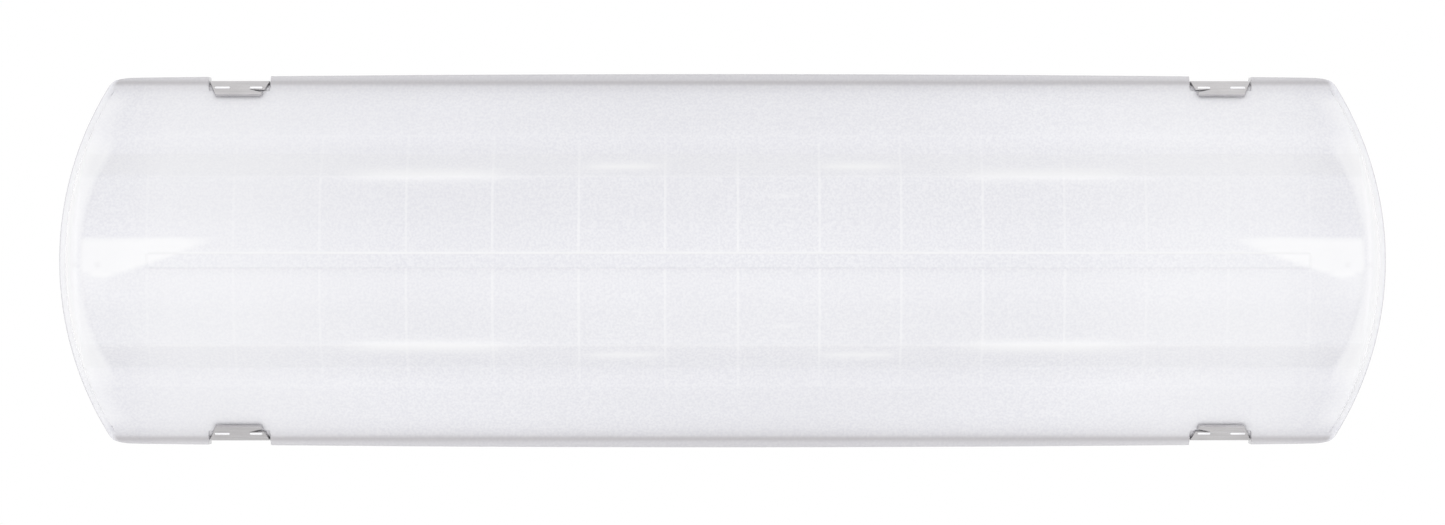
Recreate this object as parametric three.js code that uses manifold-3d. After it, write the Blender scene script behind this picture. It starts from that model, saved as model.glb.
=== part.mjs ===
// Vapor tight light fixture for a wall or ceiling, in millimetres.
// It is built lying on its back: x along the fixture, y across it, z from the wall to the lens.
// The last lines turn it up against a wall, with the lens facing -Y and the back on the plane Y = 0.

import * as THREE from 'three';
import { mergeVertices } from 'three/addons/utils/BufferGeometryUtils.js';
import Module from 'manifold-3d';

const wasm = await Module();
wasm.setup();

// Outline of the fixture seen from the front
const FIXTURE_LENGTH = 664;
const FIXTURE_WIDTH = 186.8;
const SIDE_BOW = 2.3;
const END_RADIUS = 165;
const CORNER_RADIUS = 10;
const SMALLEST_CORNER = 2.5;
const HALF_LENGTH = FIXTURE_LENGTH / 2;
const HALF_WIDTH = FIXTURE_WIDTH / 2;

// Clearances that every seat uses
const SEAT_GAP = 0.3;
const OVERRUN = 5;

// Housing tub and rim
const RIM_TOP = 52;
const RIM_HEIGHT = 10;
const TUB_WALL = 2.5;
const TUB_FLOOR = 2.5;
const TUB_BASE_INSET = 31;
const TUB_EDGE_INSET = 26;
const TUB_EDGE_HEIGHT = 4;
const TUB_HAUNCH_INSET = 20;
const TUB_HAUNCH_HEIGHT = 13;
const TUB_CORNER_RADIUS = 14;
const GROOVE_OUTER_WALL = 3.4;
const GROOVE_WIDTH = 4.2;
const GROOVE_INNER_WALL = 2.2;
const GROOVE_DEPTH = 4.5;

// Gasket
const GASKET_STAND = 0.7;

// Lens shell
const LENS_WALL = 2.2;
const SKIRT_CLEARANCE = 0.35;
const SKIRT_LENGTH = 9;
const LENS_EDGE_GAP = 1;
const FLANGE_THICKNESS = 4;
const FLANGE_FALL = 1;
const FLANGE_WIDTH = 7;
const OUTER_SLOPE_WIDTH = 33.6;
const SHOULDER_FOOT_RISE = 17;
const SHOULDER_WIDTH = 11.5;
const PLATEAU_RISE = 27;
const CROWN_RISE = 33;
const OUTER_SLOPE_BULGE = 1.6;
const END_LEDGE = 4.5;
const END_WALL_RUN = 12.5;
const CROWN_END_RADIUS = 112;

// Lines moulded into the lens
const RIB_WIDTH = 1.2;
const RIB_HEIGHT = 1.2;
const RIB_SIDE_INSET = 31.4;
const LEFT_RIB_END_INSET = 48.7;
const RIGHT_RIB_END_INSET = 43;
const RIB_MIDDLE_LEFT = -28.3;
const RIB_MIDDLE_RIGHT = 7.6;
const LEFT_RIB_COUNT = 7;
const RIGHT_RIB_COUNT = 8;
const BEAD_WIDTH = 7.6;
const BEAD_HEIGHT = 0.5;

// Latches: two places along the fixture, each on both long sides
const LEFT_LATCH_END_INSET = 90.5;
const RIGHT_LATCH_END_INSET = 83;
const LATCH_WIDTH = 27;
const LATCH_SIDE_CLEARANCE = 1.5;
const LATCH_THICKNESS = 1.5;
const LATCH_FACE_SETBACK = 2.2;
const LATCH_REACH = 8;
const LATCH_PIVOT_HEIGHT = 28;
const LATCH_SEAT_FOOT = 1.8;
const LATCH_TIP_TAPER = 3.5;
const LATCH_SLOT_LENGTH = 8;
const LATCH_SLOT_WIDTH = 2.2;
const LATCH_SLOT_EDGE = 2.6;
const KNUCKLE_RADIUS = 3.7;
const PIN_RADIUS = 1.5;
const PIN_BORE_CLEARANCE = 0.35;
const PIN_HEAD_RADIUS = 2.6;
const PIN_HEAD_LENGTH = 1.2;
const EAR_THICKNESS = 3;
const EAR_RADIUS = 3.5;

// Gear tray and its posts
const TRAY_END_INSET = 42;
const TRAY_SIDE_INSET = 29.4;
const TRAY_TOP = 44;
const TRAY_SHEET = 1;
const TRAY_LIP = 10;
const TRAY_SCREW_LEFT_INSET = 121;
const TRAY_SCREW_RIGHT_INSET = 111;
const TRAY_SCREW_MIDDLE = 4;
const TRAY_SCREW_RADIUS = 2;
const TRAY_SCREW_LENGTH = 14;
const TRAY_SCREW_HEAD_RADIUS = 4;
const TRAY_SCREW_HEAD_HEIGHT = 2.6;
const POST_RADIUS = 6;
const POST_DRAFT_SHARE = 1.25;
const SCREW_HOLE_CLEARANCE = 0.3;
const SIDE_RIB_SHARES = [-0.8, -0.4, 0, 0.4, 0.8];
const SIDE_RIB_THICKNESS = 3;
const SIDE_RIB_REACH = 4;

// Light boards
const BOARD_END_MARGIN = 9.25;
const BOARD_WIDTH = 24;
const BOARD_THICKNESS = 1.6;
const BOARD_SPLIT = 1.5;
const CHIP_COUNT = 12;
const CHIP_LENGTH = 3.5;
const CHIP_WIDTH = 2.8;
const CHIP_HEIGHT = 0.7;
const CHIP_END_MARGIN = 16;
const BOARD_PLUG_LENGTH = 8;
const BOARD_PLUG_WIDTH = 7;
const BOARD_PLUG_HEIGHT = 4;
const BOARD_SCREW_RADIUS = 1.5;
const BOARD_SCREW_LENGTH = 5.5;
const BOARD_SCREW_HEAD_RADIUS = 2.8;
const BOARD_SCREW_HEAD_HEIGHT = 1.8;

// Driver under the tray, midway between two of the tray's posts
const DRIVER_LENGTH = 120;
const DRIVER_WIDTH = 42;
const DRIVER_HEIGHT = 24;
const DRIVER_EDGE = 1.5;
const DRIVER_EAR_LENGTH = 9;
const DRIVER_EAR_THICKNESS = 2;
const DRIVER_SCREW_RADIUS = 1.75;
const DRIVER_SCREW_HEAD_RADIUS = 3.4;
const DRIVER_SCREW_HEAD_HEIGHT = 2.2;
const DRIVER_SCREW_LENGTH = 6;

// Terminal block on the tub's floor
const TERMINAL_END_INSET = 70;
const TERMINAL_LENGTH = 16;
const TERMINAL_WIDTH = 30;
const TERMINAL_HEIGHT = 17;
const TERMINAL_STEP = 5;
const TERMINAL_POLE_PITCH = 9;
const TERMINAL_HOLE_RADIUS = 1.7;
const TERMINAL_HOLE_DEPTH = 5;
const TERMINAL_WIRE_HEIGHT = 7;

// Leads
const LEAD_RADIUS = 1.2;
const LEAD_SIDES = 8;
const LEAD_STEPS = 26;
const LEAD_LIFT = 8;
const OUTPUT_LEAD_PITCH = 5;
const OUTPUT_LEAD_RISE = 7;
const GROMMET_POST_GAP = 24;
const GROMMET_RADIUS = 6.5;
const GROMMET_BORE = 4.6;
const GROMMET_LIP = 1.6;
const GROMMET_LIP_HEIGHT = 1.5;

// Cable entries in the end walls
const ENTRY_SETBACK = 27;
const ENTRY_HEIGHT = 21;
const ENTRY_POCKET_RADIUS = 15.5;
const ENTRY_BOSS_RADIUS = 18;
const ENTRY_WALL = 3;
const ENTRY_HOLE_RADIUS = 10.3;
const THREAD_RADIUS = 10;
const GLAND_BORE = 6.4;
const GLAND_INSIDE_LENGTH = 6;
const WASHER_RADIUS = 13;
const WASHER_THICKNESS = 1.6;
const HEX_RADIUS = 13.4;
const HEX_LENGTH = 6;
const GLAND_NECK_RADIUS = 10;
const GLAND_NECK_LENGTH = 9;
const NUT_RADIUS = 12.2;
const NUT_LENGTH = 13;
const NUT_MOUTH_RADIUS = 6.6;
const NUT_FLUTE_COUNT = 12;
const NUT_FLUTE_RADIUS = 1.2;
const NUT_END_WALL = 2;
const SEAL_BORE = 4.4;
const SEAL_LENGTH = 7;
const LOCKNUT_LENGTH = 4;
const PLUG_HEAD_LENGTH = 4;
const PLUG_SLOT_WIDTH = 2;
const PLUG_SLOT_DEPTH = 1.6;

// Mounting clips in channels of the back
const CLIP_END_INSET = 152;
const CLIP_SIDE_INSET = 16.4;
const CLIP_WIDTH = 26;
const CLIP_SHEET = 1.5;
const CLIP_LEG = 5;
const CLIP_LIP = 2;
const CLIP_SLOT_WIDTH = 5.5;
const CLIP_SLOT_LENGTH = 14;
const CHANNEL_DEPTH = 7;
const CHANNEL_SIDE_GAP = 0.6;

// How finely round shapes are divided
const END_ARC_STEPS = 12;
const SIDE_ARC_STEPS = 6;
const CORNER_STEPS = 4;
const END_WALL_STEPS = 7;
const CROWN_STEPS = 6;
const SLOPE_STEPS = 3;
const SCREW_SIDES = 12;
const ROUND_SIDES = 24;
const HEX_SIDES = 6;

// Solids and meshes

function solid(geometry) {
  const bare = geometry.clone();
  bare.deleteAttribute('normal');
  bare.deleteAttribute('uv');
  const merged = mergeVertices(bare);
  return new wasm.Manifold(new wasm.Mesh({
    numProp: 3,
    vertProperties: new Float32Array(merged.attributes.position.array),
    triVerts: new Uint32Array(merged.index.array),
  }));
}

function join(solids) {
  return solids.reduce((whole, piece) => whole.add(piece));
}

function cut(whole, tools) {
  return tools.reduce((left, tool) => left.subtract(tool), whole);
}

function geometryOf(shape) {
  const mesh = shape.getMesh();
  const geometry = new THREE.BufferGeometry();
  const positions = new Float32Array(mesh.vertProperties);
  geometry.setAttribute('position', new THREE.BufferAttribute(positions, mesh.numProp));
  geometry.setIndex(new THREE.BufferAttribute(new Uint32Array(mesh.triVerts), 1));
  return geometry;
}

// A box between two corners
function box(low, high) {
  const size = high.map((value, axis) => value - low[axis]);
  const middle = high.map((value, axis) => (value + low[axis]) / 2);
  const geometry = new THREE.BoxGeometry(...size);
  geometry.translate(...middle);
  return solid(geometry);
}

// A straight rod along x, y or z, from one place on that axis to another; it may taper
function rod(axis, from, to, centre, radius, sides = SCREW_SIDES, endRadius = radius) {
  const geometry = new THREE.CylinderGeometry(endRadius, radius, to - from, sides);
  const middle = [...centre];
  if (axis === 'x') geometry.rotateZ(-Math.PI / 2);
  if (axis === 'z') geometry.rotateX(Math.PI / 2);
  middle['xyz'.indexOf(axis)] = (from + to) / 2;
  geometry.translate(...middle);
  return solid(geometry);
}

// A closed outline of y, z points carried along x
function prismAlongX(points, from, to) {
  const shape = new THREE.Shape(points.map(([y, z]) => new THREE.Vector2(y, z)));
  const geometry = new THREE.ExtrudeGeometry(shape, { depth: to - from, bevelEnabled: false });
  const turn = new THREE.Matrix4().makeBasis(
    new THREE.Vector3(0, 1, 0),
    new THREE.Vector3(0, 0, 1),
    new THREE.Vector3(1, 0, 0),
  );
  geometry.applyMatrix4(turn);
  geometry.translate(from, 0, 0);
  return solid(geometry);
}

// A closed outline of x, y points carried along z
function prismAlongZ(points, from, to) {
  const shape = new THREE.Shape(points.map(([x, y]) => new THREE.Vector2(x, y)));
  const geometry = new THREE.ExtrudeGeometry(shape, { depth: to - from, bevelEnabled: false });
  geometry.translate(0, 0, from);
  return solid(geometry);
}

// A skin over rings of points that lie at rising heights, closed by a flat face at each end
function loft(rings) {
  const count = rings[0].points.length;
  const positions = rings.flatMap(({ points, z }) => points.flatMap((point) => [point.x, point.y, z]));
  const faces = THREE.ShapeUtils.triangulateShape(rings[0].points, []);
  const top = (rings.length - 1) * count;
  const indices = [];
  for (const [a, b, c] of faces) {
    indices.push(a, c, b);
    indices.push(top + a, top + b, top + c);
  }
  for (let ring = 0; ring < rings.length - 1; ring += 1) {
    for (let i = 0; i < count; i += 1) {
      const low = ring * count + i;
      const lowNext = ring * count + ((i + 1) % count);
      indices.push(low, lowNext, lowNext + count);
      indices.push(low, lowNext + count, low + count);
    }
  }
  const geometry = new THREE.BufferGeometry();
  geometry.setAttribute('position', new THREE.Float32BufferAttribute(positions, 3));
  geometry.setIndex(indices);
  return solid(geometry);
}

function arcPoints(centre, radius, from, to, steps) {
  const points = [];
  for (let i = 0; i <= steps; i += 1) {
    const angle = from + ((to - from) * i) / steps;
    const arm = new THREE.Vector2(Math.cos(angle), Math.sin(angle));
    points.push(arm.multiplyScalar(radius).add(centre));
  }
  return points;
}

// The fixture's outline, moved in by an inset: an arc at each end, a long arc on each side, round corners
function planform(inset, corner = CORNER_RADIUS - inset, endRadius = END_RADIUS - inset) {
  const sideRadius = (HALF_LENGTH ** 2 + SIDE_BOW ** 2) / (2 * SIDE_BOW) - inset;
  const round = Math.max(corner, SMALLEST_CORNER);
  const end = new THREE.Vector2(HALF_LENGTH - inset - endRadius, 0);
  const side = new THREE.Vector2(0, HALF_WIDTH - inset - sideRadius);
  const endReach = endRadius - round;
  const sideReach = sideRadius - round;
  const apart = side.clone().sub(end);
  const span = apart.length();
  const along = (span ** 2 + endReach ** 2 - sideReach ** 2) / (2 * span);
  const across = Math.sqrt(endReach ** 2 - along ** 2);
  const direction = apart.divideScalar(span);
  const outward = new THREE.Vector2(-direction.y, direction.x);
  const centre = end.clone().addScaledVector(direction, along).addScaledVector(outward, across);
  const endAngle = Math.atan2(centre.y - end.y, centre.x - end.x);
  const sideAngle = Math.atan2(centre.y - side.y, centre.x - side.x);
  const quarter = [
    ...arcPoints(end, endRadius, 0, endAngle, END_ARC_STEPS / 2),
    ...arcPoints(centre, round, endAngle, sideAngle, CORNER_STEPS).slice(1),
    ...arcPoints(side, sideRadius, sideAngle, Math.PI / 2, SIDE_ARC_STEPS / 2).slice(1),
  ];
  const opposite = quarter.slice(0, -1).reverse().map((point) => new THREE.Vector2(-point.x, point.y));
  const half = [...quarter, ...opposite];
  const back = half.slice(1, -1).reverse().map((point) => new THREE.Vector2(point.x, -point.y));
  return [...half, ...back];
}

function planformPrism(inset, from, to, corner) {
  const points = planform(inset, corner);
  return loft([{ points, z: from }, { points, z: to }]);
}

// The same shape on both sides of the fixture's long axis
function bothSides(shape) {
  return [shape, shape.mirror([0, 1, 0])];
}

// Heights and insets that several pieces share

const rimInset = LENS_WALL + SKIRT_CLEARANCE;
const grooveOuterInset = rimInset + GROOVE_OUTER_WALL;
const grooveInnerInset = grooveOuterInset + GROOVE_WIDTH;
const mouthInset = grooveInnerInset + GROOVE_INNER_WALL;
const tubInset = mouthInset - TUB_WALL;
const rimUnderside = RIM_TOP - RIM_HEIGHT;
const lensEdge = RIM_TOP + LENS_EDGE_GAP;
const flangeTop = lensEdge + FLANGE_THICKNESS;
const crownTop = flangeTop + CROWN_RISE;
const latchPlaces = [
  { end: 'left', x: LEFT_LATCH_END_INSET - HALF_LENGTH },
  { end: 'right', x: HALF_LENGTH - RIGHT_LATCH_END_INSET },
];
const trayHalfLength = HALF_LENGTH - TRAY_END_INSET;
const trayHalfWidth = HALF_WIDTH - TRAY_SIDE_INSET;
const trayScrewPlaces = [
  TRAY_SCREW_LEFT_INSET - HALF_LENGTH,
  TRAY_SCREW_MIDDLE,
  HALF_LENGTH - TRAY_SCREW_RIGHT_INSET,
];
const driverX = (trayScrewPlaces[1] + trayScrewPlaces[2]) / 2;
const grommetX = trayScrewPlaces[2] + GROMMET_POST_GAP;
const terminalX = TERMINAL_END_INSET - HALF_LENGTH;
const entryFace = HALF_LENGTH - ENTRY_SETBACK;
const clipX = HALF_LENGTH - CLIP_END_INSET;
const clipHalfSpan = HALF_WIDTH - TUB_BASE_INSET - CLIP_SIDE_INSET;

// How far the outline's long side stands from the long axis at a place along it
function sideReachAt(x, inset) {
  const sideRadius = (HALF_LENGTH ** 2 + SIDE_BOW ** 2) / (2 * SIDE_BOW);
  return HALF_WIDTH - sideRadius + Math.sqrt(sideRadius ** 2 - x ** 2) - inset;
}

// Housing

function tubRings(wall, floor) {
  const steps = [
    [TUB_BASE_INSET, 0],
    [TUB_EDGE_INSET, TUB_EDGE_HEIGHT],
    [TUB_HAUNCH_INSET, TUB_HAUNCH_HEIGHT],
    [tubInset, rimUnderside],
    [tubInset, RIM_TOP + floor],
  ];
  const corner = TUB_CORNER_RADIUS - wall;
  return steps.map(([inset, z]) => ({ points: planform(inset + wall, corner), z: z + floor }));
}

// The face of the rim pocket and of the lens notch that a latch lies against
function pocketFace(place) {
  return latchFace(place) - LATCH_THICKNESS - SEAT_GAP;
}

function latchFace(place) {
  return sideReachAt(place.x, LATCH_FACE_SETBACK);
}

function latchPivot(place) {
  return latchFace(place) - KNUCKLE_RADIUS;
}

// The room for all four latches in the housing's rim or in the lens
function latchOpenings(lowZ, highZ) {
  const half = LATCH_WIDTH / 2 + LATCH_SIDE_CLEARANCE;
  const outer = HALF_WIDTH + OVERRUN;
  return latchPlaces.flatMap((place) => bothSides(
    box([place.x - half, pocketFace(place), lowZ], [place.x + half, outer, highZ]),
  ));
}

// Two lugs that hold a latch pin beside the latch
function latchEars(place) {
  const inner = LATCH_WIDTH / 2 + SEAT_GAP;
  const pivot = latchPivot(place);
  const low = LATCH_PIVOT_HEIGHT - EAR_RADIUS;
  const high = LATCH_PIVOT_HEIGHT + EAR_RADIUS;
  const root = sideReachAt(place.x, TUB_HAUNCH_INSET);
  return [-1, 1].flatMap((side) => {
    const ends = [place.x + side * inner, place.x + side * (inner + EAR_THICKNESS)].sort((a, b) => a - b);
    return [
      rod('x', ends[0], ends[1], [0, pivot, LATCH_PIVOT_HEIGHT], EAR_RADIUS, SCREW_SIDES),
      prismAlongX([[root, low], [pivot, low], [pivot, high], [root, high]], ends[0], ends[1]),
    ];
  });
}

function pinHole(place) {
  const reach = LATCH_WIDTH / 2 + EAR_THICKNESS + OVERRUN;
  const centre = [0, latchPivot(place), LATCH_PIVOT_HEIGHT];
  return rod('x', place.x - reach, place.x + reach, centre, PIN_RADIUS + SEAT_GAP);
}

// A post under each tray screw, standing on the tub's floor
function trayPost(x) {
  const top = TRAY_TOP - TRAY_SHEET - SEAT_GAP;
  const base = POST_RADIUS * POST_DRAFT_SHARE;
  return rod('z', TUB_FLOOR / 2, top, [x, 0, 0], base, ROUND_SIDES / 2, POST_RADIUS);
}

function trayPostHole(x) {
  const top = TRAY_TOP - TRAY_SHEET - SEAT_GAP;
  const radius = TRAY_SCREW_RADIUS + SCREW_HOLE_CLEARANCE;
  return rod('z', top - TRAY_SCREW_LENGTH - SEAT_GAP, top + OVERRUN, [x, 0, 0], radius);
}

// A rib on a side wall that the tray's folded edge rests on
function sideRib(x) {
  const half = SIDE_RIB_THICKNESS / 2;
  const top = TRAY_TOP - TRAY_LIP - SEAT_GAP;
  return box([x - half, trayHalfWidth - SIDE_RIB_REACH, TUB_FLOOR / 2], [x + half, HALF_WIDTH, top]);
}

const channelHalfWidth = CLIP_WIDTH / 2 + CHANNEL_SIDE_GAP;
const channelHalfSpan = clipHalfSpan + CHANNEL_SIDE_GAP;
const undercutHalfSpan = channelHalfSpan + CLIP_LIP;

function channelBoss(x) {
  const halfX = channelHalfWidth + TUB_WALL;
  const halfY = undercutHalfSpan + TUB_WALL;
  return box([x - halfX, -halfY, 0], [x + halfX, halfY, CHANNEL_DEPTH + TUB_WALL]);
}

function channelCut(x) {
  const lipLow = CLIP_LEG - CLIP_SHEET - SEAT_GAP;
  const lipHigh = CLIP_LEG + SEAT_GAP;
  const low = [x - channelHalfWidth, -channelHalfSpan, -OVERRUN];
  const high = [x + channelHalfWidth, channelHalfSpan, CHANNEL_DEPTH];
  return box(low, high).add(box(
    [x - channelHalfWidth, -undercutHalfSpan, lipLow],
    [x + channelHalfWidth, undercutHalfSpan, lipHigh],
  ));
}

function entryBoss(side) {
  const near = entryFace - ENTRY_WALL;
  return alongEnd(side, near, HALF_LENGTH, ENTRY_BOSS_RADIUS, ROUND_SIDES);
}

// A rod on the axis of a cable entry, placed by its distances from the fixture's middle
function alongEnd(side, near, far, radius, sides = ROUND_SIDES, farRadius = radius) {
  const centre = [0, 0, ENTRY_HEIGHT];
  if (side > 0) return rod('x', near, far, centre, radius, sides, farRadius);
  return rod('x', -far, -near, centre, farRadius, sides, radius);
}

function housing() {
  const outer = loft(tubRings(0, 0));
  const rim = planformPrism(rimInset, rimUnderside, RIM_TOP);
  const ears = latchPlaces.flatMap((place) => latchEars(place).flatMap(bothSides));
  const shell = join([outer, rim, ...ears]).subtract(loft(tubRings(TUB_WALL, TUB_FLOOR)));
  const ribPlaces = SIDE_RIB_SHARES.map((share) => share * trayHalfLength);
  const inner = join([
    ...trayScrewPlaces.map(trayPost),
    ...ribPlaces.flatMap((x) => bothSides(sideRib(x))),
    channelBoss(-clipX),
    channelBoss(clipX),
    entryBoss(-1),
    entryBoss(1),
  ]).intersect(outer);
  const groove = planformPrism(grooveOuterInset, RIM_TOP - GROOVE_DEPTH, RIM_TOP + OVERRUN)
    .subtract(planformPrism(grooveInnerInset, RIM_TOP - GROOVE_DEPTH - OVERRUN, RIM_TOP + OVERRUN));
  return cut(shell.add(inner), [
    groove,
    ...trayScrewPlaces.map(trayPostHole),
    ...latchOpenings(rimUnderside - OVERRUN, RIM_TOP + OVERRUN),
    ...latchPlaces.flatMap((place) => bothSides(pinHole(place))),
    channelCut(-clipX),
    channelCut(clipX),
    ...[-1, 1].flatMap((side) => [
      alongEnd(side, entryFace, HALF_LENGTH, ENTRY_POCKET_RADIUS),
      alongEnd(side, entryFace - ENTRY_WALL - OVERRUN, HALF_LENGTH, ENTRY_HOLE_RADIUS),
    ]),
  ]);
}

function gasket() {
  const low = RIM_TOP - GROOVE_DEPTH + SEAT_GAP;
  const high = RIM_TOP + GASKET_STAND;
  return planformPrism(grooveOuterInset + SEAT_GAP, low, high)
    .subtract(planformPrism(grooveInnerInset - SEAT_GAP, low - OVERRUN, high + OVERRUN));
}

// Lens

// The lens's cross section, from one long side over the crown to the other
function lensProfile() {
  const slopeFoot = HALF_WIDTH - FLANGE_WIDTH;
  const shoulderFoot = slopeFoot - OUTER_SLOPE_WIDTH;
  const plateauHalfWidth = shoulderFoot - SHOULDER_WIDTH;
  const half = [[HALF_WIDTH + OVERRUN, flangeTop - FLANGE_FALL], [slopeFoot, flangeTop]];
  for (let i = 1; i <= SLOPE_STEPS; i += 1) {
    const share = i / SLOPE_STEPS;
    const y = THREE.MathUtils.lerp(slopeFoot, shoulderFoot, share);
    half.push([y, flangeTop + SHOULDER_FOOT_RISE * share + 4 * OUTER_SLOPE_BULGE * share * (1 - share)]);
  }
  for (let i = 0; i < CROWN_STEPS; i += 1) {
    const share = 1 - i / CROWN_STEPS;
    half.push([plateauHalfWidth * share, crownTop - (CROWN_RISE - PLATEAU_RISE) * share ** 2]);
  }
  const other = half.map(([y, z]) => [-y, z]).reverse();
  return [...half, [0, crownTop], ...other];
}

// An open outline moved inwards, its corners mitred
function movedIn(points, distance) {
  const normals = points.slice(1).map(([y, z], i) => {
    const span = new THREE.Vector2(y - points[i][0], z - points[i][1]).normalize();
    return new THREE.Vector2(-span.y, span.x);
  });
  return points.map(([y, z], i) => {
    const before = normals[Math.max(i - 1, 0)];
    const after = normals[Math.min(i, normals.length - 1)];
    const mitre = before.clone().add(after).divideScalar(1 + before.dot(after));
    return [y + mitre.x * distance, z + mitre.y * distance];
  });
}

function underProfile(inset, from) {
  const roof = movedIn(lensProfile(), inset);
  const sides = [[roof.at(-1)[0], from], [roof[0][0], from]];
  return prismAlongX([...roof, ...sides], -HALF_LENGTH - OVERRUN, HALF_LENGTH + OVERRUN);
}

// The end walls curve in as they rise, and the arc of the end tightens towards the crown
function lensRings(wall, mouth, from) {
  const rings = [];
  const corner = CORNER_RADIUS;
  for (const [inset, z] of [[0, from], [0, flangeTop - FLANGE_FALL]]) {
    rings.push({ points: planform(Math.max(inset + wall, mouth)), z });
  }
  for (let i = 0; i <= END_WALL_STEPS; i += 1) {
    const angle = (i / END_WALL_STEPS) * (Math.PI / 2);
    const curl = 1 - Math.cos(angle);
    const inset = Math.max(END_LEDGE + END_WALL_RUN * curl + wall, mouth);
    const endRadius = THREE.MathUtils.lerp(END_RADIUS, CROWN_END_RADIUS, curl);
    const z = flangeTop + (CROWN_RISE + FLANGE_FALL) * Math.sin(angle);
    rings.push({ points: planform(inset, corner + inset, endRadius), z });
  }
  return rings;
}

function lensHollow(wall) {
  const from = lensEdge - OVERRUN;
  return loft(lensRings(wall, mouthInset, from)).intersect(underProfile(wall, from));
}

// Places spread evenly from one to another
function spread(from, to, count) {
  return Array.from({ length: count }, (_, i) => THREE.MathUtils.lerp(from, to, i / (count - 1)));
}

function ribPlaces() {
  return [
    ...spread(LEFT_RIB_END_INSET - HALF_LENGTH, RIB_MIDDLE_LEFT, LEFT_RIB_COUNT),
    ...spread(RIB_MIDDLE_RIGHT, HALF_LENGTH - RIGHT_RIB_END_INSET, RIGHT_RIB_COUNT),
  ];
}

// Thin plates that stand in the hollow, cut back to a low rib under the roof
function lensRibs() {
  const places = ribPlaces();
  const half = RIB_WIDTH / 2;
  const span = HALF_WIDTH - RIB_SIDE_INSET;
  const cross = places.flatMap((x) => bothSides(
    box([x - half, BEAD_WIDTH / 2, lensEdge], [x + half, span, crownTop]),
  ));
  const long = bothSides(
    box([places[0], span - half, lensEdge], [places.at(-1), span + half, crownTop]),
  );
  return join([...cross, ...long]).subtract(lensHollow(LENS_WALL + RIB_HEIGHT));
}

function bead() {
  const places = ribPlaces();
  const half = BEAD_WIDTH / 2;
  return box([places[0], -half, crownTop - LENS_WALL / 2], [places.at(-1), half, crownTop + BEAD_HEIGHT]);
}

// The sloping seat on the lens's edge that a latch's hook holds down
function hookSeat(place) {
  const half = LATCH_WIDTH / 2 + LATCH_SIDE_CLEARANCE;
  const face = pocketFace(place);
  const foot = lensEdge + LATCH_SEAT_FOOT;
  const reach = CROWN_RISE / 2;
  const outer = HALF_WIDTH + OVERRUN;
  const above = [[face, foot], [outer, foot], [outer, foot + reach], [face - reach, foot + reach]];
  return prismAlongX(above, place.x - half, place.x + half);
}

function lens() {
  const skirtEdge = lensEdge - SKIRT_LENGTH;
  const shell = loft(lensRings(0, 0, skirtEdge)).intersect(underProfile(0, skirtEdge - OVERRUN));
  const skirtRoom = planformPrism(LENS_WALL, skirtEdge - OVERRUN, lensEdge);
  return cut(shell.add(bead()), [
    skirtRoom,
    lensHollow(LENS_WALL).subtract(lensRibs()),
    ...latchOpenings(skirtEdge - OVERRUN, flangeTop + OVERRUN),
    ...latchPlaces.flatMap((place) => bothSides(hookSeat(place))),
  ]);
}

// Latches and their pins, for the upper long side

// A rolled knuckle round the pin, a flat blade up the rim, and a hook over the sloping seat
function latch(place) {
  const outerY = latchFace(place);
  const innerY = outerY - LATCH_THICKNESS;
  const pivotY = latchPivot(place);
  const from = place.x - LATCH_WIDTH / 2;
  const to = place.x + LATCH_WIDTH / 2;
  const seat = pocketFace(place) + lensEdge + LATCH_SEAT_FOOT + SEAT_GAP * Math.SQRT2;
  const back = seat + LATCH_THICKNESS * Math.SQRT2;
  const tipY = outerY - LATCH_REACH;
  const lean = LATCH_THICKNESS / Math.SQRT2;
  const blade = prismAlongX([
    [innerY, LATCH_PIVOT_HEIGHT],
    [outerY, LATCH_PIVOT_HEIGHT],
    [outerY, back - outerY],
    [tipY + lean, back - tipY - lean],
    [tipY, seat - tipY],
    [innerY, seat - innerY],
  ], from, to);
  const centre = [0, pivotY, LATCH_PIVOT_HEIGHT];
  const knuckle = rod('x', from, to, centre, KNUCKLE_RADIUS, ROUND_SIDES / 2);
  const bore = rod('x', from - OVERRUN, to + OVERRUN, centre, PIN_RADIUS + PIN_BORE_CLEARANCE);
  return cut(blade.add(knuckle), [bore, ...latchTipCuts(place), latchSlot(place)]);
}

// The hook narrows towards its tip on both sides
function latchTipCuts(place) {
  const outerY = latchFace(place);
  const tipY = outerY - LATCH_REACH;
  const low = lensEdge;
  const high = crownTop;
  return [-1, 1].map((side) => {
    const edge = place.x + (side * LATCH_WIDTH) / 2;
    const beyond = edge + side * OVERRUN;
    return prismAlongZ([
      [edge, outerY],
      [edge - side * LATCH_TIP_TAPER, tipY],
      [edge - side * LATCH_TIP_TAPER, tipY - OVERRUN],
      [beyond, tipY - OVERRUN],
      [beyond, outerY],
    ], low, high);
  });
}

// A wedge-shaped slot through the hook, wide towards the fixture's middle
function latchSlot(place) {
  const inward = -Math.sign(place.x);
  const wide = place.x + inward * (LATCH_WIDTH / 2 - LATCH_SLOT_EDGE);
  const narrow = wide - inward * LATCH_SLOT_LENGTH;
  const middle = latchFace(place) - LATCH_REACH / 2 - LATCH_THICKNESS / 2;
  return prismAlongZ([
    [wide, middle - LATCH_SLOT_WIDTH / 2],
    [wide, middle + LATCH_SLOT_WIDTH / 2],
    [narrow, middle],
  ], lensEdge, crownTop);
}

function latchPin(place) {
  const centre = [0, latchPivot(place), LATCH_PIVOT_HEIGHT];
  const reach = LATCH_WIDTH / 2 + SEAT_GAP + EAR_THICKNESS + SEAT_GAP;
  const shank = rod('x', place.x - reach, place.x + reach, centre, PIN_RADIUS);
  const heads = [-1, 1].map((side) => {
    const ends = [place.x + side * reach, place.x + side * (reach + PIN_HEAD_LENGTH)].sort((a, b) => a - b);
    return rod('x', ends[0], ends[1], centre, PIN_HEAD_RADIUS);
  });
  return join([shank, ...heads]);
}

// Gear tray and what it carries

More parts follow.
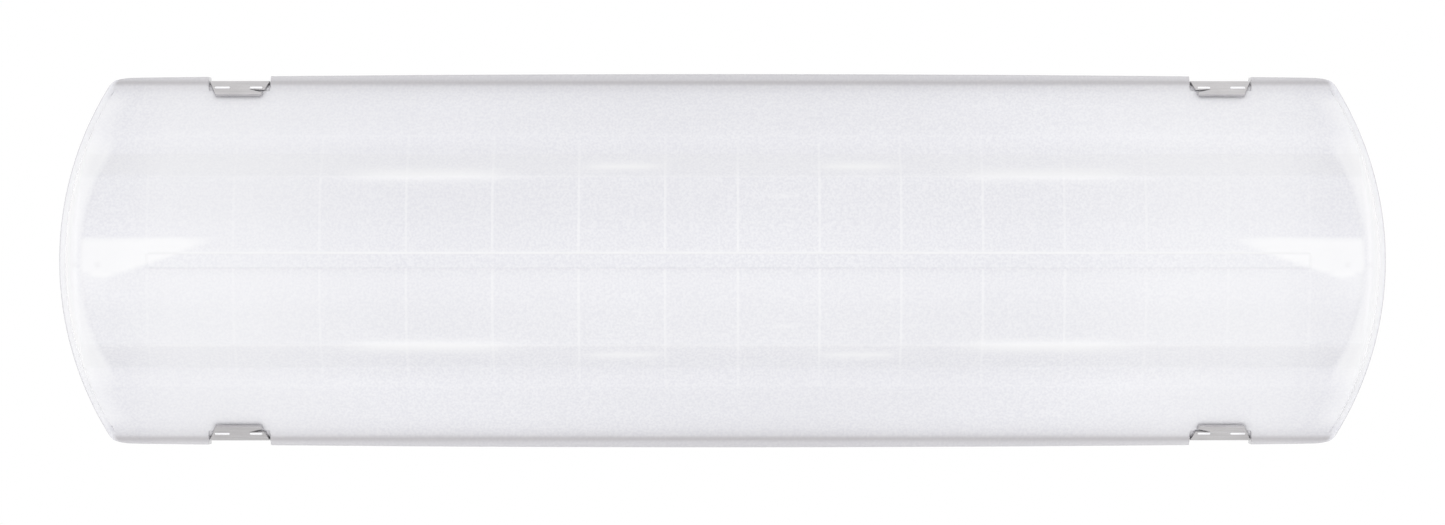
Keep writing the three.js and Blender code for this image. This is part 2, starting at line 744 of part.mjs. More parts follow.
// A screw with its shank below the seat and its head above it; turned over with way -1
function screw([x, y], seat, { radius, length, headRadius, headHeight }, way = 1) {
  const shankEnds = [seat - way * length, seat + (way * headHeight) / 2].sort((a, b) => a - b);
  const headEnds = [seat, seat + way * headHeight].sort((a, b) => a - b);
  const top = headRadius - headHeight / 2;
  const [lowRadius, highRadius] = way > 0 ? [headRadius, top] : [top, headRadius];
  const shank = rod('z', ...shankEnds, [x, y, 0], radius);
  return shank.add(rod('z', ...headEnds, [x, y, 0], lowRadius, SCREW_SIDES, highRadius));
}

function screwHole([x, y], low, high, radius) {
  return rod('z', low, high, [x, y, 0], radius + SCREW_HOLE_CLEARANCE);
}

function trayScrew(x) {
  return screw([x, 0], TRAY_TOP + SEAT_GAP, {
    radius: TRAY_SCREW_RADIUS,
    length: TRAY_SCREW_LENGTH,
    headRadius: TRAY_SCREW_HEAD_RADIUS,
    headHeight: TRAY_SCREW_HEAD_HEIGHT,
  });
}

function boardScrew(hole) {
  return screw(hole, boardTop + SEAT_GAP, {
    radius: BOARD_SCREW_RADIUS,
    length: BOARD_SCREW_LENGTH,
    headRadius: BOARD_SCREW_HEAD_RADIUS,
    headHeight: BOARD_SCREW_HEAD_HEIGHT,
  });
}

function driverScrew(hole) {
  return screw(hole, driverTop - DRIVER_EAR_THICKNESS - SEAT_GAP, {
    radius: DRIVER_SCREW_RADIUS,
    length: DRIVER_SCREW_LENGTH,
    headRadius: DRIVER_SCREW_HEAD_RADIUS,
    headHeight: DRIVER_SCREW_HEAD_HEIGHT,
  }, -1);
}

const boardSeat = TRAY_TOP + SEAT_GAP;
const boardTop = boardSeat + BOARD_THICKNESS;
const boardLength = trayHalfLength - BOARD_END_MARGIN - BOARD_SPLIT / 2;
const boardMiddle = BOARD_SPLIT / 2 + boardLength / 2;
const boardRowY = trayHalfWidth / 2;
const chipPitch = (boardLength - 2 * CHIP_END_MARGIN) / (CHIP_COUNT - 1);
const boardPlaces = [
  { name: 'upper_left', x: -boardMiddle, y: boardRowY },
  { name: 'upper_right', x: boardMiddle, y: boardRowY },
  { name: 'lower_left', x: -boardMiddle, y: -boardRowY },
  { name: 'lower_right', x: boardMiddle, y: -boardRowY },
];

// Each board is held between its outer pairs of chips
function boardScrewPlaces({ x, y }) {
  const reach = boardLength / 2 - CHIP_END_MARGIN - chipPitch / 2;
  return [[x - reach, y], [x + reach, y]];
}

function driverScrewPlaces() {
  const reach = DRIVER_LENGTH / 2 + DRIVER_EAR_LENGTH / 2;
  return [[driverX - reach, 0], [driverX + reach, 0]];
}

function ledTray() {
  const low = TRAY_TOP - TRAY_LIP;
  const under = TRAY_TOP - TRAY_SHEET;
  const folded = prismAlongX([
    [-trayHalfWidth, low],
    [-trayHalfWidth + TRAY_SHEET, low],
    [-trayHalfWidth + TRAY_SHEET, under],
    [trayHalfWidth - TRAY_SHEET, under],
    [trayHalfWidth - TRAY_SHEET, low],
    [trayHalfWidth, low],
    [trayHalfWidth, TRAY_TOP],
    [-trayHalfWidth, TRAY_TOP],
  ], -trayHalfLength, trayHalfLength);
  const bottom = under - OVERRUN;
  const top = TRAY_TOP + OVERRUN;
  return cut(folded, [
    ...trayScrewPlaces.map((x) => screwHole([x, 0], bottom, top, TRAY_SCREW_RADIUS)),
    ...boardPlaces.flatMap(boardScrewPlaces)
      .map((hole) => screwHole(hole, bottom, top, BOARD_SCREW_RADIUS)),
    ...driverScrewPlaces().map((place) => screwHole(place, bottom, top, DRIVER_SCREW_RADIUS)),
    screwHole([grommetX, 0], bottom, top, GROMMET_RADIUS),
  ]);
}

function ledBoard(place) {
  const halfLength = boardLength / 2;
  const halfWidth = BOARD_WIDTH / 2;
  const plate = box(
    [place.x - halfLength, place.y - halfWidth, boardSeat],
    [place.x + halfLength, place.y + halfWidth, boardTop],
  );
  const chips = Array.from({ length: CHIP_COUNT }, (_, i) => {
    const x = place.x - halfLength + CHIP_END_MARGIN + i * chipPitch;
    return box(
      [x - CHIP_LENGTH / 2, place.y - CHIP_WIDTH / 2, boardTop - BOARD_THICKNESS / 2],
      [x + CHIP_LENGTH / 2, place.y + CHIP_WIDTH / 2, boardTop + CHIP_HEIGHT],
    );
  });
  const plugs = [-1, 1].map((side) => {
    const outer = place.x + side * halfLength;
    const ends = [outer, outer - side * BOARD_PLUG_LENGTH].sort((a, b) => a - b);
    return box(
      [ends[0], place.y - BOARD_PLUG_WIDTH / 2, boardTop - BOARD_THICKNESS / 2],
      [ends[1], place.y + BOARD_PLUG_WIDTH / 2, boardTop + BOARD_PLUG_HEIGHT],
    );
  });
  const holes = boardScrewPlaces(place)
    .map((hole) => screwHole(hole, boardSeat - OVERRUN, boardTop + OVERRUN, BOARD_SCREW_RADIUS));
  return cut(join([plate, ...chips, ...plugs]), holes);
}

// A bridge over the two plugs where the boards of a row meet
function boardLink(y) {
  const halfX = BOARD_SPLIT / 2 + BOARD_PLUG_LENGTH;
  const low = boardTop + BOARD_PLUG_HEIGHT + SEAT_GAP;
  const high = low + BOARD_PLUG_HEIGHT / 2;
  return box([-halfX, y - BOARD_PLUG_WIDTH / 2, low], [halfX, y + BOARD_PLUG_WIDTH / 2, high]);
}

const driverTop = TRAY_TOP - TRAY_SHEET - SEAT_GAP;
const driverMiddle = driverTop - DRIVER_HEIGHT / 2;

function ledDriver() {
  const halfLength = DRIVER_LENGTH / 2;
  const halfWidth = DRIVER_WIDTH / 2;
  const low = driverTop - DRIVER_HEIGHT;
  const edge = DRIVER_EDGE;
  const body = prismAlongX([
    [-halfWidth, low + edge],
    [-halfWidth + edge, low],
    [halfWidth - edge, low],
    [halfWidth, low + edge],
    [halfWidth, driverTop],
    [-halfWidth, driverTop],
  ], driverX - halfLength, driverX + halfLength);
  const reach = halfLength + DRIVER_EAR_LENGTH;
  const ears = box(
    [driverX - reach, -halfWidth + edge, driverTop - DRIVER_EAR_THICKNESS],
    [driverX + reach, halfWidth - edge, driverTop],
  );
  const holes = driverScrewPlaces()
    .map((hole) => screwHole(hole, low, driverTop + OVERRUN, DRIVER_SCREW_RADIUS));
  return cut(body.add(ears), holes);
}

function grommet() {
  const under = TRAY_TOP - TRAY_SHEET;
  const centre = [grommetX, 0, 0];
  const lip = GROMMET_RADIUS + GROMMET_LIP;
  const low = under - SEAT_GAP - GROMMET_LIP_HEIGHT;
  const high = TRAY_TOP + SEAT_GAP + GROMMET_LIP_HEIGHT;
  const sides = ROUND_SIDES / 2;
  return join([
    rod('z', low, high, centre, GROMMET_RADIUS, sides),
    rod('z', low, under - SEAT_GAP, centre, lip, sides),
    rod('z', TRAY_TOP + SEAT_GAP, high, centre, lip, sides),
  ]).subtract(rod('z', low - OVERRUN, high + OVERRUN, centre, GROMMET_BORE, sides));
}

// Terminal block with a step at its wire side, a wire hole and a clamp screw recess for each pole

const terminalFoot = TUB_FLOOR + SEAT_GAP;
const terminalPoles = [-TERMINAL_POLE_PITCH, 0, TERMINAL_POLE_PITCH];
const terminalFace = terminalX + TERMINAL_LENGTH / 2;
const terminalWireZ = terminalFoot + TERMINAL_WIRE_HEIGHT;

function terminalBlock() {
  const half = TERMINAL_LENGTH / 2;
  const top = terminalFoot + TERMINAL_HEIGHT;
  const body = box(
    [terminalX - half, -TERMINAL_WIDTH / 2, terminalFoot],
    [terminalX + half, TERMINAL_WIDTH / 2, top],
  );
  const step = box(
    [terminalFace - TERMINAL_STEP, -TERMINAL_WIDTH, top - TERMINAL_STEP],
    [terminalFace + OVERRUN, TERMINAL_WIDTH, top + OVERRUN],
  );
  const radius = TERMINAL_HOLE_RADIUS;
  const wireHoles = terminalPoles.flatMap((y) => [-1, 1].map((side) => {
    const outer = terminalX + side * half;
    const ends = [outer + side * OVERRUN, outer - side * TERMINAL_HOLE_DEPTH].sort((a, b) => a - b);
    return rod('x', ends[0], ends[1], [0, y, terminalWireZ], radius, SCREW_SIDES / 2);
  }));
  const screwHoles = terminalPoles.map((y) => rod(
    'z',
    top - TERMINAL_HOLE_DEPTH,
    top + OVERRUN,
    [terminalX - TERMINAL_STEP / 2, y, 0],
    radius,
    SCREW_SIDES / 2,
  ));
  return cut(body, [step, ...wireHoles, ...screwHoles]);
}

// Leads inside the housing

function tube(points, radius) {
  const stations = points.map((point) => new THREE.Vector3(...point));
  const curve = new THREE.CatmullRomCurve3(stations, false, 'centripetal');
  const section = new THREE.Shape();
  section.absarc(0, 0, radius, 0, 2 * Math.PI, false);
  const outline = new THREE.Shape(section.getPoints(LEAD_SIDES / 2).slice(0, -1));
  const path = { steps: LEAD_STEPS, extrudePath: curve, bevelEnabled: false };
  return solid(new THREE.ExtrudeGeometry(outline, path));
}

const leadDiameter = 2 * LEAD_RADIUS;
const driverInput = driverX - DRIVER_LENGTH / 2 - SEAT_GAP;
const driverOutput = driverX + DRIVER_LENGTH / 2 + SEAT_GAP;

// The supply leads run in lanes beside the posts, above the clip channels
function supplyLead(index) {
  const start = terminalPoles[index];
  const end = (index - 1) * OUTPUT_LEAD_PITCH;
  const post = POST_RADIUS * POST_DRAFT_SHARE;
  const lane = -post - LEAD_LIFT - (terminalPoles.length - index) * 2 * leadDiameter;
  const height = CHANNEL_DEPTH + TUB_WALL + LEAD_LIFT;
  const before = trayScrewPlaces[0] - post - 2 * leadDiameter;
  const after = trayScrewPlaces[1] + post + 2 * leadDiameter;
  return tube([
    [terminalFace + SEAT_GAP, start, terminalWireZ],
    [terminalFace + 2 * leadDiameter, start, terminalWireZ],
    [before, lane, height],
    [(before + after) / 2, lane, height],
    [after, lane, height],
    [driverInput - 3 * leadDiameter, end, driverMiddle],
    [driverInput, end, driverMiddle],
  ], LEAD_RADIUS);
}

// The output leads pass the post, rise through the grommet and part to the two rows of boards
function outputLead(side) {
  const plugX = boardMiddle + boardLength / 2 - BOARD_PLUG_LENGTH / 2;
  const plugY = side * (boardRowY - BOARD_PLUG_WIDTH / 2 - SEAT_GAP);
  const height = boardTop + BOARD_PLUG_HEIGHT / 2;
  const lane = side * (LEAD_RADIUS + 3 * SEAT_GAP);
  const besidePost = side * (POST_RADIUS * POST_DRAFT_SHARE + 2 * leadDiameter);
  return tube([
    [driverOutput, lane, driverMiddle],
    [driverOutput + 3 * leadDiameter, lane, driverMiddle],
    [trayScrewPlaces[2], besidePost, driverMiddle],
    [grommetX, lane, TRAY_TOP - TRAY_LIP],
    [grommetX, lane, TRAY_TOP - TRAY_LIP / 2],
    [grommetX, lane, TRAY_TOP],
    [grommetX, lane, TRAY_TOP + 2 * GROMMET_LIP_HEIGHT],
    [grommetX + OUTPUT_LEAD_RISE, side * (GROMMET_RADIUS + OUTPUT_LEAD_RISE), boardTop + BOARD_PLUG_HEIGHT],
    [plugX - OUTPUT_LEAD_RISE, side * (GROMMET_RADIUS + OUTPUT_LEAD_RISE), height],
    [plugX, plugY - side * OUTPUT_LEAD_RISE, height],
    [plugX, plugY, height],
  ], LEAD_RADIUS);
}

// Cable entries: a gland on the left, a blanking plug on the right

const entryInside = entryFace - ENTRY_WALL;
const washerNear = entryFace + SEAT_GAP;
const washerFar = washerNear + WASHER_THICKNESS;
const hexNear = washerFar + SEAT_GAP;
const hexFar = hexNear + HEX_LENGTH;
const neckFar = hexFar + GLAND_NECK_LENGTH;
const nutNear = hexFar + SEAT_GAP;
const nutFar = nutNear + NUT_LENGTH;
const sealNear = neckFar - SEAL_LENGTH + SEAT_GAP;
const sealFar = nutFar - NUT_END_WALL - SEAT_GAP;

function glandBody() {
  const body = join([
    alongEnd(-1, entryInside - GLAND_INSIDE_LENGTH, hexNear + SEAT_GAP, THREAD_RADIUS),
    alongEnd(-1, hexNear, hexFar, HEX_RADIUS, HEX_SIDES),
    alongEnd(-1, hexFar - SEAT_GAP, neckFar, GLAND_NECK_RADIUS),
  ]);
  return cut(body, [
    alongEnd(-1, entryInside - GLAND_INSIDE_LENGTH - OVERRUN, neckFar + OVERRUN, SEAL_BORE + SEAT_GAP),
    alongEnd(-1, sealNear - SEAT_GAP, neckFar + OVERRUN, GLAND_BORE),
  ]);
}

function clampSeal() {
  return alongEnd(-1, sealNear, sealFar, GLAND_BORE - SEAT_GAP)
    .subtract(alongEnd(-1, sealNear - OVERRUN, sealFar + OVERRUN, SEAL_BORE));
}

function clampNut() {
  const centre = [0, 0, ENTRY_HEIGHT];
  const flutes = Array.from({ length: NUT_FLUTE_COUNT }, (_, i) => {
    const angle = (2 * Math.PI * i) / NUT_FLUTE_COUNT;
    const y = centre[1] + NUT_RADIUS * Math.cos(angle);
    const z = centre[2] + NUT_RADIUS * Math.sin(angle);
    return rod('x', -nutFar - OVERRUN, -nutNear + OVERRUN, [0, y, z], NUT_FLUTE_RADIUS, SCREW_SIDES / 2);
  });
  return cut(alongEnd(-1, nutNear, nutFar, NUT_RADIUS), [
    ...flutes,
    alongEnd(-1, nutNear - OVERRUN, nutFar - NUT_END_WALL, GLAND_NECK_RADIUS + SEAT_GAP),
    alongEnd(-1, nutNear, nutFar + OVERRUN, NUT_MOUTH_RADIUS),
  ]);
}

function locknut(side) {
  const near = entryInside - SEAT_GAP - LOCKNUT_LENGTH;
  const far = entryInside - SEAT_GAP;
  return alongEnd(side, near, far, HEX_RADIUS, HEX_SIDES)
    .subtract(alongEnd(side, near - OVERRUN, far + OVERRUN, THREAD_RADIUS + SEAT_GAP));
}

function sealingWasher(side) {
  return alongEnd(side, washerNear, washerFar, WASHER_RADIUS)
    .subtract(alongEnd(side, washerNear - OVERRUN, washerFar + OVERRUN, THREAD_RADIUS + SEAT_GAP));
}

function blankingPlug() {
  const headFar = hexNear + PLUG_HEAD_LENGTH;
  const slot = box(
    [headFar - PLUG_SLOT_DEPTH, -HEX_RADIUS, ENTRY_HEIGHT - PLUG_SLOT_WIDTH / 2],
    [headFar + OVERRUN, HEX_RADIUS, ENTRY_HEIGHT + PLUG_SLOT_WIDTH / 2],
  );
  return alongEnd(1, entryInside - GLAND_INSIDE_LENGTH, hexNear + SEAT_GAP, THREAD_RADIUS)
    .add(alongEnd(1, hexNear, headFar, WASHER_RADIUS))
    .subtract(slot);
}

// Mounting clips

function mountingClip(x) {
  const half = CLIP_WIDTH / 2;
  const span = clipHalfSpan;
  const lipLow = CLIP_LEG - CLIP_SHEET;
  const upper = [
    [span, 0],
    [span, lipLow],
    [span + CLIP_LIP, lipLow],
    [span + CLIP_LIP, CLIP_LEG],
    [span - CLIP_SHEET, CLIP_LEG],
    [span - CLIP_SHEET, CLIP_SHEET],
  ];
  const lower = upper.map(([y, z]) => [-y, z]).reverse();
  const strip = prismAlongX([...upper, ...lower], x - half, x + half);
  const slotHalf = (CLIP_SLOT_LENGTH - CLIP_SLOT_WIDTH) / 2;
  const radius = CLIP_SLOT_WIDTH / 2;
  return cut(strip, [
    box([x - slotHalf, -radius, -OVERRUN], [x + slotHalf, radius, CLIP_LEG]),
    rod('z', -OVERRUN, CLIP_LEG, [x - slotHalf, 0, 0], radius),
    rod('z', -OVERRUN, CLIP_LEG, [x + slotHalf, 0, 0], radius),
  ]);
}

// Finishes

const finishes = {
  housing: { color: 0xb9bdc1, roughness: 0.5, metalness: 0 },
  lens: { color: 0xeeeef2, roughness: 0.35, metalness: 0 },
  rubber: { color: 0x2c2d2f, roughness: 0.85, metalness: 0 },
  steel: { color: 0xb8b5b0, roughness: 0.3, metalness: 1 },
  tray: { color: 0xf2f2f0, roughness: 0.45, metalness: 0 },
  board: { color: 0xf4f4ee, roughness: 0.4, metalness: 0 },
  driver: { color: 0xe4e4e2, roughness: 0.5, metalness: 0 },
  plastic: { color: 0x3a3c3f, roughness: 0.55, metalness: 0 },
  brown: { color: 0x6a3a1e, roughness: 0.5, metalness: 0 },
  blue: { color: 0x2458a8, roughness: 0.5, metalness: 0 },
  green: { color: 0x6f9a2c, roughness: 0.5, metalness: 0 },
  red: { color: 0xb3261e, roughness: 0.5, metalness: 0 },
};

const fixture = new THREE.Group();

function add(name, finish, shape) {
  const mesh = new THREE.Mesh(geometryOf(shape), new THREE.MeshStandardMaterial(finishes[finish]));
  mesh.name = name;
  fixture.add(mesh);
}

add('housing', 'housing', housing());
add('gasket', 'rubber', gasket());
add('lens', 'lens', lens());
for (const spot of latchPlaces) {
  const [upperLatch, lowerLatch] = bothSides(latch(spot));
  const [upperPin, lowerPin] = bothSides(latchPin(spot));
  add(`latch_upper_${spot.end}`, 'steel', upperLatch);
  add(`latch_lower_${spot.end}`, 'steel', lowerLatch);
  add(`latch_pin_upper_${spot.end}`, 'steel', upperPin);
  add(`latch_pin_lower_${spot.end}`, 'steel', lowerPin);
}
add('led_tray', 'tray', ledTray());
trayScrewPlaces.forEach((x, i) => {
  add(`tray_screw_${i + 1}`, 'steel', trayScrew(x));
});
for (const spot of boardPlaces) {
  add(`led_board_${spot.name}`, 'board', ledBoard(spot));
  boardScrewPlaces(spot).forEach((hole, i) => {
    add(`board_screw_${spot.name}_${i + 1}`, 'steel', boardScrew(hole));
  });
}
add('board_link_upper', 'plastic', boardLink(boardRowY));
add('board_link_lower', 'plastic', boardLink(-boardRowY));
add('led_driver', 'driver', ledDriver());
driverScrewPlaces().forEach((hole, i) => {
  add(`driver_screw_${i + 1}`, 'steel', driverScrew(hole));
});
add('tray_grommet', 'rubber', grommet());
add('terminal_block', 'plastic', terminalBlock());
add('lead_live', 'brown', supplyLead(0));
add('lead_earth', 'green', supplyLead(1));
add('lead_neutral', 'blue', supplyLead(2));
add('lead_output_upper', 'red', outputLead(1));
add('lead_output_lower', 'plastic', outputLead(-1));
add('gland_body', 'plastic', glandBody());
add('gland_washer', 'rubber', sealingWasher(-1));
add('gland_seal', 'rubber', clampSeal());
add('gland_nut', 'plastic', clampNut());
add('gland_locknut', 'plastic', locknut(-1));
add('blanking_plug', 'plastic', blankingPlug());
add('plug_washer', 'rubber', sealingWasher(1));
add('plug_locknut', 'plastic', locknut(1));
add('mounting_clip_left', 'steel', mountingClip(-clipX));
add('mounting_clip_right', 'steel', mountingClip(clipX));

// Up against the wall, with the lens towards -Y
fixture.rotation.x = Math.PI / 2;

export default fixture;
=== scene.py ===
"""Vapor tight light fixture: its visible pieces, finishes, lamps, floor and camera.

Shapes are worked out in a bench frame in millimetres, as the part's source does: x along the
fixture, y across it, z from the wall to the lens. on_wall() turns them to the part's frame.
"""

import math

import bmesh
import bpy
import numpy as np
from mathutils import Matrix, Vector


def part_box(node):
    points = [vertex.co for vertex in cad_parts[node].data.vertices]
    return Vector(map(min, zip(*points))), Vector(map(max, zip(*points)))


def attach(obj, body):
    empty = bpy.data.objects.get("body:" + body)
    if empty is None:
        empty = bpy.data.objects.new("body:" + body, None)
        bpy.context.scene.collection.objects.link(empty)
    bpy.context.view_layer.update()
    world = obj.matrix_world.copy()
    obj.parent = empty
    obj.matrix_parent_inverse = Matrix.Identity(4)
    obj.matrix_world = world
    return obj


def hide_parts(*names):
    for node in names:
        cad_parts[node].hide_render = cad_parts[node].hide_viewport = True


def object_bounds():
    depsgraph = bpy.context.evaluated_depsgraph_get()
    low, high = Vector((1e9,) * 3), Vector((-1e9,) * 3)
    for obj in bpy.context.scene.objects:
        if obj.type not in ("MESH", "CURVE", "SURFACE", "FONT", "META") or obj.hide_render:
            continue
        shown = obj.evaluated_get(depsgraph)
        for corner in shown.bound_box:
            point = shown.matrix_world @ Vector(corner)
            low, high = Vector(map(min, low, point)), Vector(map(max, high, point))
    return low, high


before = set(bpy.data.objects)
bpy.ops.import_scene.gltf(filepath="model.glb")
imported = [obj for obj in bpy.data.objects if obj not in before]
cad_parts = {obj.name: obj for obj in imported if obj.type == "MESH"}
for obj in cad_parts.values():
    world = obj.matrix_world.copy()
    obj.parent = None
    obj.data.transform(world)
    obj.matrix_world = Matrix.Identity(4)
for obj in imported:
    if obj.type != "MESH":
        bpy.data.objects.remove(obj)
cad_low, cad_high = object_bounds()

MM = 0.001
QUARTER = math.pi / 2
SIDES = (("upper", 1), ("lower", -1))
SEAT_GAP = 0.3
MERGE_DISTANCE = 0.002 * MM
BEVEL_ANGLE = math.radians(38)
# Degrees up to which an edge is smoothed: usually, on small turned parts, on the lens and cap,
# and on the CAD nodes that stay
SMOOTH, SMOOTH_SMALL, SMOOTH_ROUND, SMOOTH_CAD = 35, 28, 40, 32


def span_of(node):
    """Low and high limits of a CAD node along x, y and z of the bench."""
    low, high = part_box(node)
    return (low.x / MM, high.x / MM), (low.z / MM, high.z / MM), (-high.y / MM, -low.y / MM)


def middle_of(node):
    """Middle of a CAD node along x and y of the bench."""
    low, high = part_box(node)
    return (low.x + high.x) / 2 / MM, (low.z + high.z) / 2 / MM


# Outline
lens_low, lens_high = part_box("lens")
HALF_LENGTH = (lens_high.x - lens_low.x) / 2 / MM
HALF_WIDTH = (lens_high.z - lens_low.z) / 2 / MM
SIDE_BOW = 2.3
END_RADIUS = 165
CORNER_RADIUS = 10
SMALLEST_CORNER = 2.5
STRAIGHT_X = 290.4
STRAIGHT_Y = 76

# Lens
BEAD_HEIGHT = 0.5
BEAD_HALF = 3.8
CROWN = -lens_low.y / MM - BEAD_HEIGHT
CROWN_RISE = 33
PLATEAU_RISE = 27
SHOULDER_FOOT_RISE = 17
FLANGE_TOP = CROWN - CROWN_RISE
FLANGE_FALL = 1
LENS_WALL = 2.2
LENS_EDGE = FLANGE_TOP - 4
SKIRT_EDGE = -lens_high.y / MM
SLOPE_FOOT = HALF_WIDTH - 7
SHOULDER_FOOT = SLOPE_FOOT - 33.6
PLATEAU_EDGE = SHOULDER_FOOT - 11.5
SLOPE_BULGE = 1.6
END_LEDGE = 4.5
END_WALL_RUN = 12.5
END_DEPTH = END_LEDGE + END_WALL_RUN
LEAST_END_ROOM = 3
CROWN_END_RADIUS = 112
MOUTH_INSET = 12.35
EDGE_ROUND = 1.1
ROUND_TURN = np.linspace(0, QUARTER, 6)
ROUND_STEPS = EDGE_ROUND * (1 - np.cos(ROUND_TURN))
ROUND_FALL = EDGE_ROUND * (1 - np.sin(ROUND_TURN))
RIB_WIDTH = 1.2
RIB_HEIGHT = 1.2
RIB_SPAN = HALF_WIDTH - 31.4
LEFT_RIBS = np.linspace(48.7 - HALF_LENGTH, -28.3, 7)
RIGHT_RIBS = np.linspace(7.6, HALF_LENGTH - 43, 8)
RIBS = np.concatenate([LEFT_RIBS, RIGHT_RIBS])
RIBS_MIDDLE, RIBS_REACH = (RIBS[0] + RIBS[-1]) / 2, (RIBS[-1] - RIBS[0]) / 2
CREASE_STEPS = (-1.6, -0.9, -0.3, 0.3, 0.9, 1.6)
LINE_STEPS = (-0.8, -0.4, 0.4, 0.8)
BEAD_STEPS = (-1, -0.65, -0.3, 0.05, 0.4, 0.8)

# Lens: painted shade by distance from its long side, then its shoulders; then its moulded gates
RIM_STEPS = (0, 2.2, 3.1, 4.1, 4.9, 6.2, 7.6, 10, 16)
RIM_SHADE = (0.42, 0.42, 0.5, 0.72, 0.66, 0.3, 0.19, 0.07, 0)
SHOULDER_BAND = (PLATEAU_EDGE + 0.9, PLATEAU_EDGE + 2, SHOULDER_FOOT - 1, SHOULDER_FOOT + 0.6)
GATE_PLACES = (307.5, 318.8)
GATE_Y = -2.2
# Painted highlights: soft streaks of lamp light painted on the lens
# Strength, place along the lens, distance from the plateau's edge, length, width
STREAKS = (
    (1, -144, 1, 78, 6),
    (1, 159, 1, 78, 6),
    (1, -49, 5.4, 38, 3.4),
    (1, 67, 5.4, 38, 3.4),
    (0.5, 31, -9.4, 12, 1.5),
)

# Latches and their pins
LATCH_WIDTH = 27
LATCH_THICKNESS = 1.5
LATCH_REACH = 8
LATCH_BEND = 2.2
LATCH_TIP_TAPER = 2.2
LATCH_FLARE = 1.1
LATCH_PIVOT_HEIGHT = 28
LATCH_SEAT_FOOT = 1.8
HOOK_UNDERSIDE = LENS_EDGE + LATCH_SEAT_FOOT - LATCH_THICKNESS - SEAT_GAP
HOOK_LINE = HOOK_UNDERSIDE + math.sqrt(2) * (SEAT_GAP + LATCH_THICKNESS / 2)
KNUCKLE_RADIUS = 3.7
CURL_OPENING = 65
NOTCH_HALF = LATCH_WIDTH / 2 + 1.5
NOTCH_SLOPE = 0.6
RIDGE_RADIUS = 0.75
RIDGE_SETBACK = 3.65
RIDGES = ((-8.3, 7.8), (8.6, 6.6))
RIDGE_SHOWS = 0.12
HOOK_SLOT = ((5.2, 4.3), (16, 4.9), (16, 7.1))
HOOK_SLOT_HEIGHTS = (50, 70)
PIN_RADIUS = 1.5
PIN_HALF = LATCH_WIDTH / 2 + 4.8
PIN_HEAD = ((0.02, 0.7), (0.15, 1.5), (0.5, 2.25), (0.95, 2.6), (1.2, 2.6), (1.2, PIN_RADIUS))
LATCHES = {end: middle_of(f"latch_upper_{end}")[0] for end in ("left", "right")}
LATCH_FACES = {end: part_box(f"latch_upper_{end}")[1].z / MM for end in LATCHES}
POCKETS = {end: face - LATCH_THICKNESS - SEAT_GAP for end, face in LATCH_FACES.items()}

# Screws: shank radius, length, head radius, head height
TRAY_SCREW = (2, 14, 4, 2.6)
BOARD_SCREW = (1.5, 5.5, 2.8, 1.8)
DRIVER_SCREW = (1.75, 6, 3.4, 2.2)
CLAMP_SCREW = (1.3, 1.5, 2.1, 1.1)
HEAD_SHARES = ((0.4, 0.97), (0.75, 0.82), (0.93, 0.58), (1, 0.3))
CORE_SHARE = 0.8

# Tray and boards
TRAY_TOP = 44
TRAY_SHEET = 1
TRAY_FOLD = 10
TRAY_BEND = 1.4
HOLE_HEIGHTS = (30, 50)
GROMMET_HOLE = 6.8
POST_HOLE = 2.3
TRAY_SCREWS = [middle_of(f"tray_screw_{index}")[0] for index in (1, 2, 3)]
BOARD_LOW = TRAY_TOP + SEAT_GAP
BOARD_TOP = BOARD_LOW + 1.6
CHIP_COUNT = 12
CHIP_MARGIN = 16
CHIP_RADIUS = 2.2
PAD_HALVES = (2.3, 1.1)
TRACK_AWAY = 6
TRACK_MARGIN = 9
PLUG_HALVES = (3.9, 3.5)
PORT_HALVES = (2, 0.9)
PORT_AWAY = 1.6
DRIVER_TOP = TRAY_TOP - TRAY_SHEET - SEAT_GAP
DRIVER_EAR = 2

# Gasket: insets of its sides, heights, and how far its top is rounded
GASKET_OUTER, GASKET_INNER = 6.25, 9.85
GASKET_LOW, GASKET_HIGH, GASKET_CROWN = 47.8, 52.7, 1.5

# Cable entries, with profiles of (distance outwards from the end wall, radius)
ENTRY_SIDES = ((-1, "gland"), (1, "plug"))
ENTRY_HEIGHT = 21
ENTRY_FACE = HALF_LENGTH - 27
THREAD_PITCH = 1.5
THREAD = [
    (-8.6 + (turn + share) * THREAD_PITCH, radius)
    for turn in range(7)
    for share, radius in ((0.1, 9.45), (0.6, 10))
]
TUBE = [(-9, 4.7), (-9, 9.2), *THREAD, (2.1, 10), (17.2, 10), (17.2, 6.4), (10.2, 6.4), (10.2, 4.7)]
TUBE_HEXAGON = [(2.2, 12.6), (2.9, 13.4), (7.5, 13.4), (8.2, 12.6), (8.2, 11), (2.2, 11)]
CAP_NEAR, CAP_FAR = 8.5, 21.5
CAP_OUTSIDE = [(8.5, 11.6), (9.1, 12.2), (16.5, 12.2), (18.9, 11.8), (20.6, 10.4), (21.4, 8.6)]
CAP_INSIDE = [(21.5, 7.4), (21.1, 6.6), (19.5, 6.6), (19.5, 10.3), (8.5, 10.3)]
CAP_SIDES = 180
CAP_FLUTES = 12
CAP_FLUTE_DEPTH = 1.1
CLAMP_SEAL = [(10.5, 4.4), (10.5, 6.1), (18.8, 6.1), (19.2, 5.7), (19.1, 4.8), (18.6, 4.4)]
WASHER = [(0.3, 10.4), (0.3, 12.7), (0.6, 13), (1.6, 13), (1.9, 12.7), (1.9, 10.4)]
LOCKNUT = [(-7.3, 12.5), (-6.8, 13.4), (-3.8, 13.4), (-3.3, 12.5)]
LOCKNUT_BORE = [(-9, 10.3), (-2, 10.3)]
PLUG = [(-9, 8.8), *THREAD, (2.1, 10), (2.2, 12.6), (2.6, 13)]
PLUG += [(4.8, 13), (5.6, 12.5), (6.1, 11.4), (6.2, 10)]
PLUG_SLOT = (4.6, 9)

# Mounting clips
CLIP_HALF_WIDTH = 13
CLIP_SHEET = 1.5
CLIP_LEG = 4.25
CLIP_BEND = 1.1
CLIP_SLOT_RADIUS = 2.75
CLIP_SLOT_HALF = 4.25


# Shapes


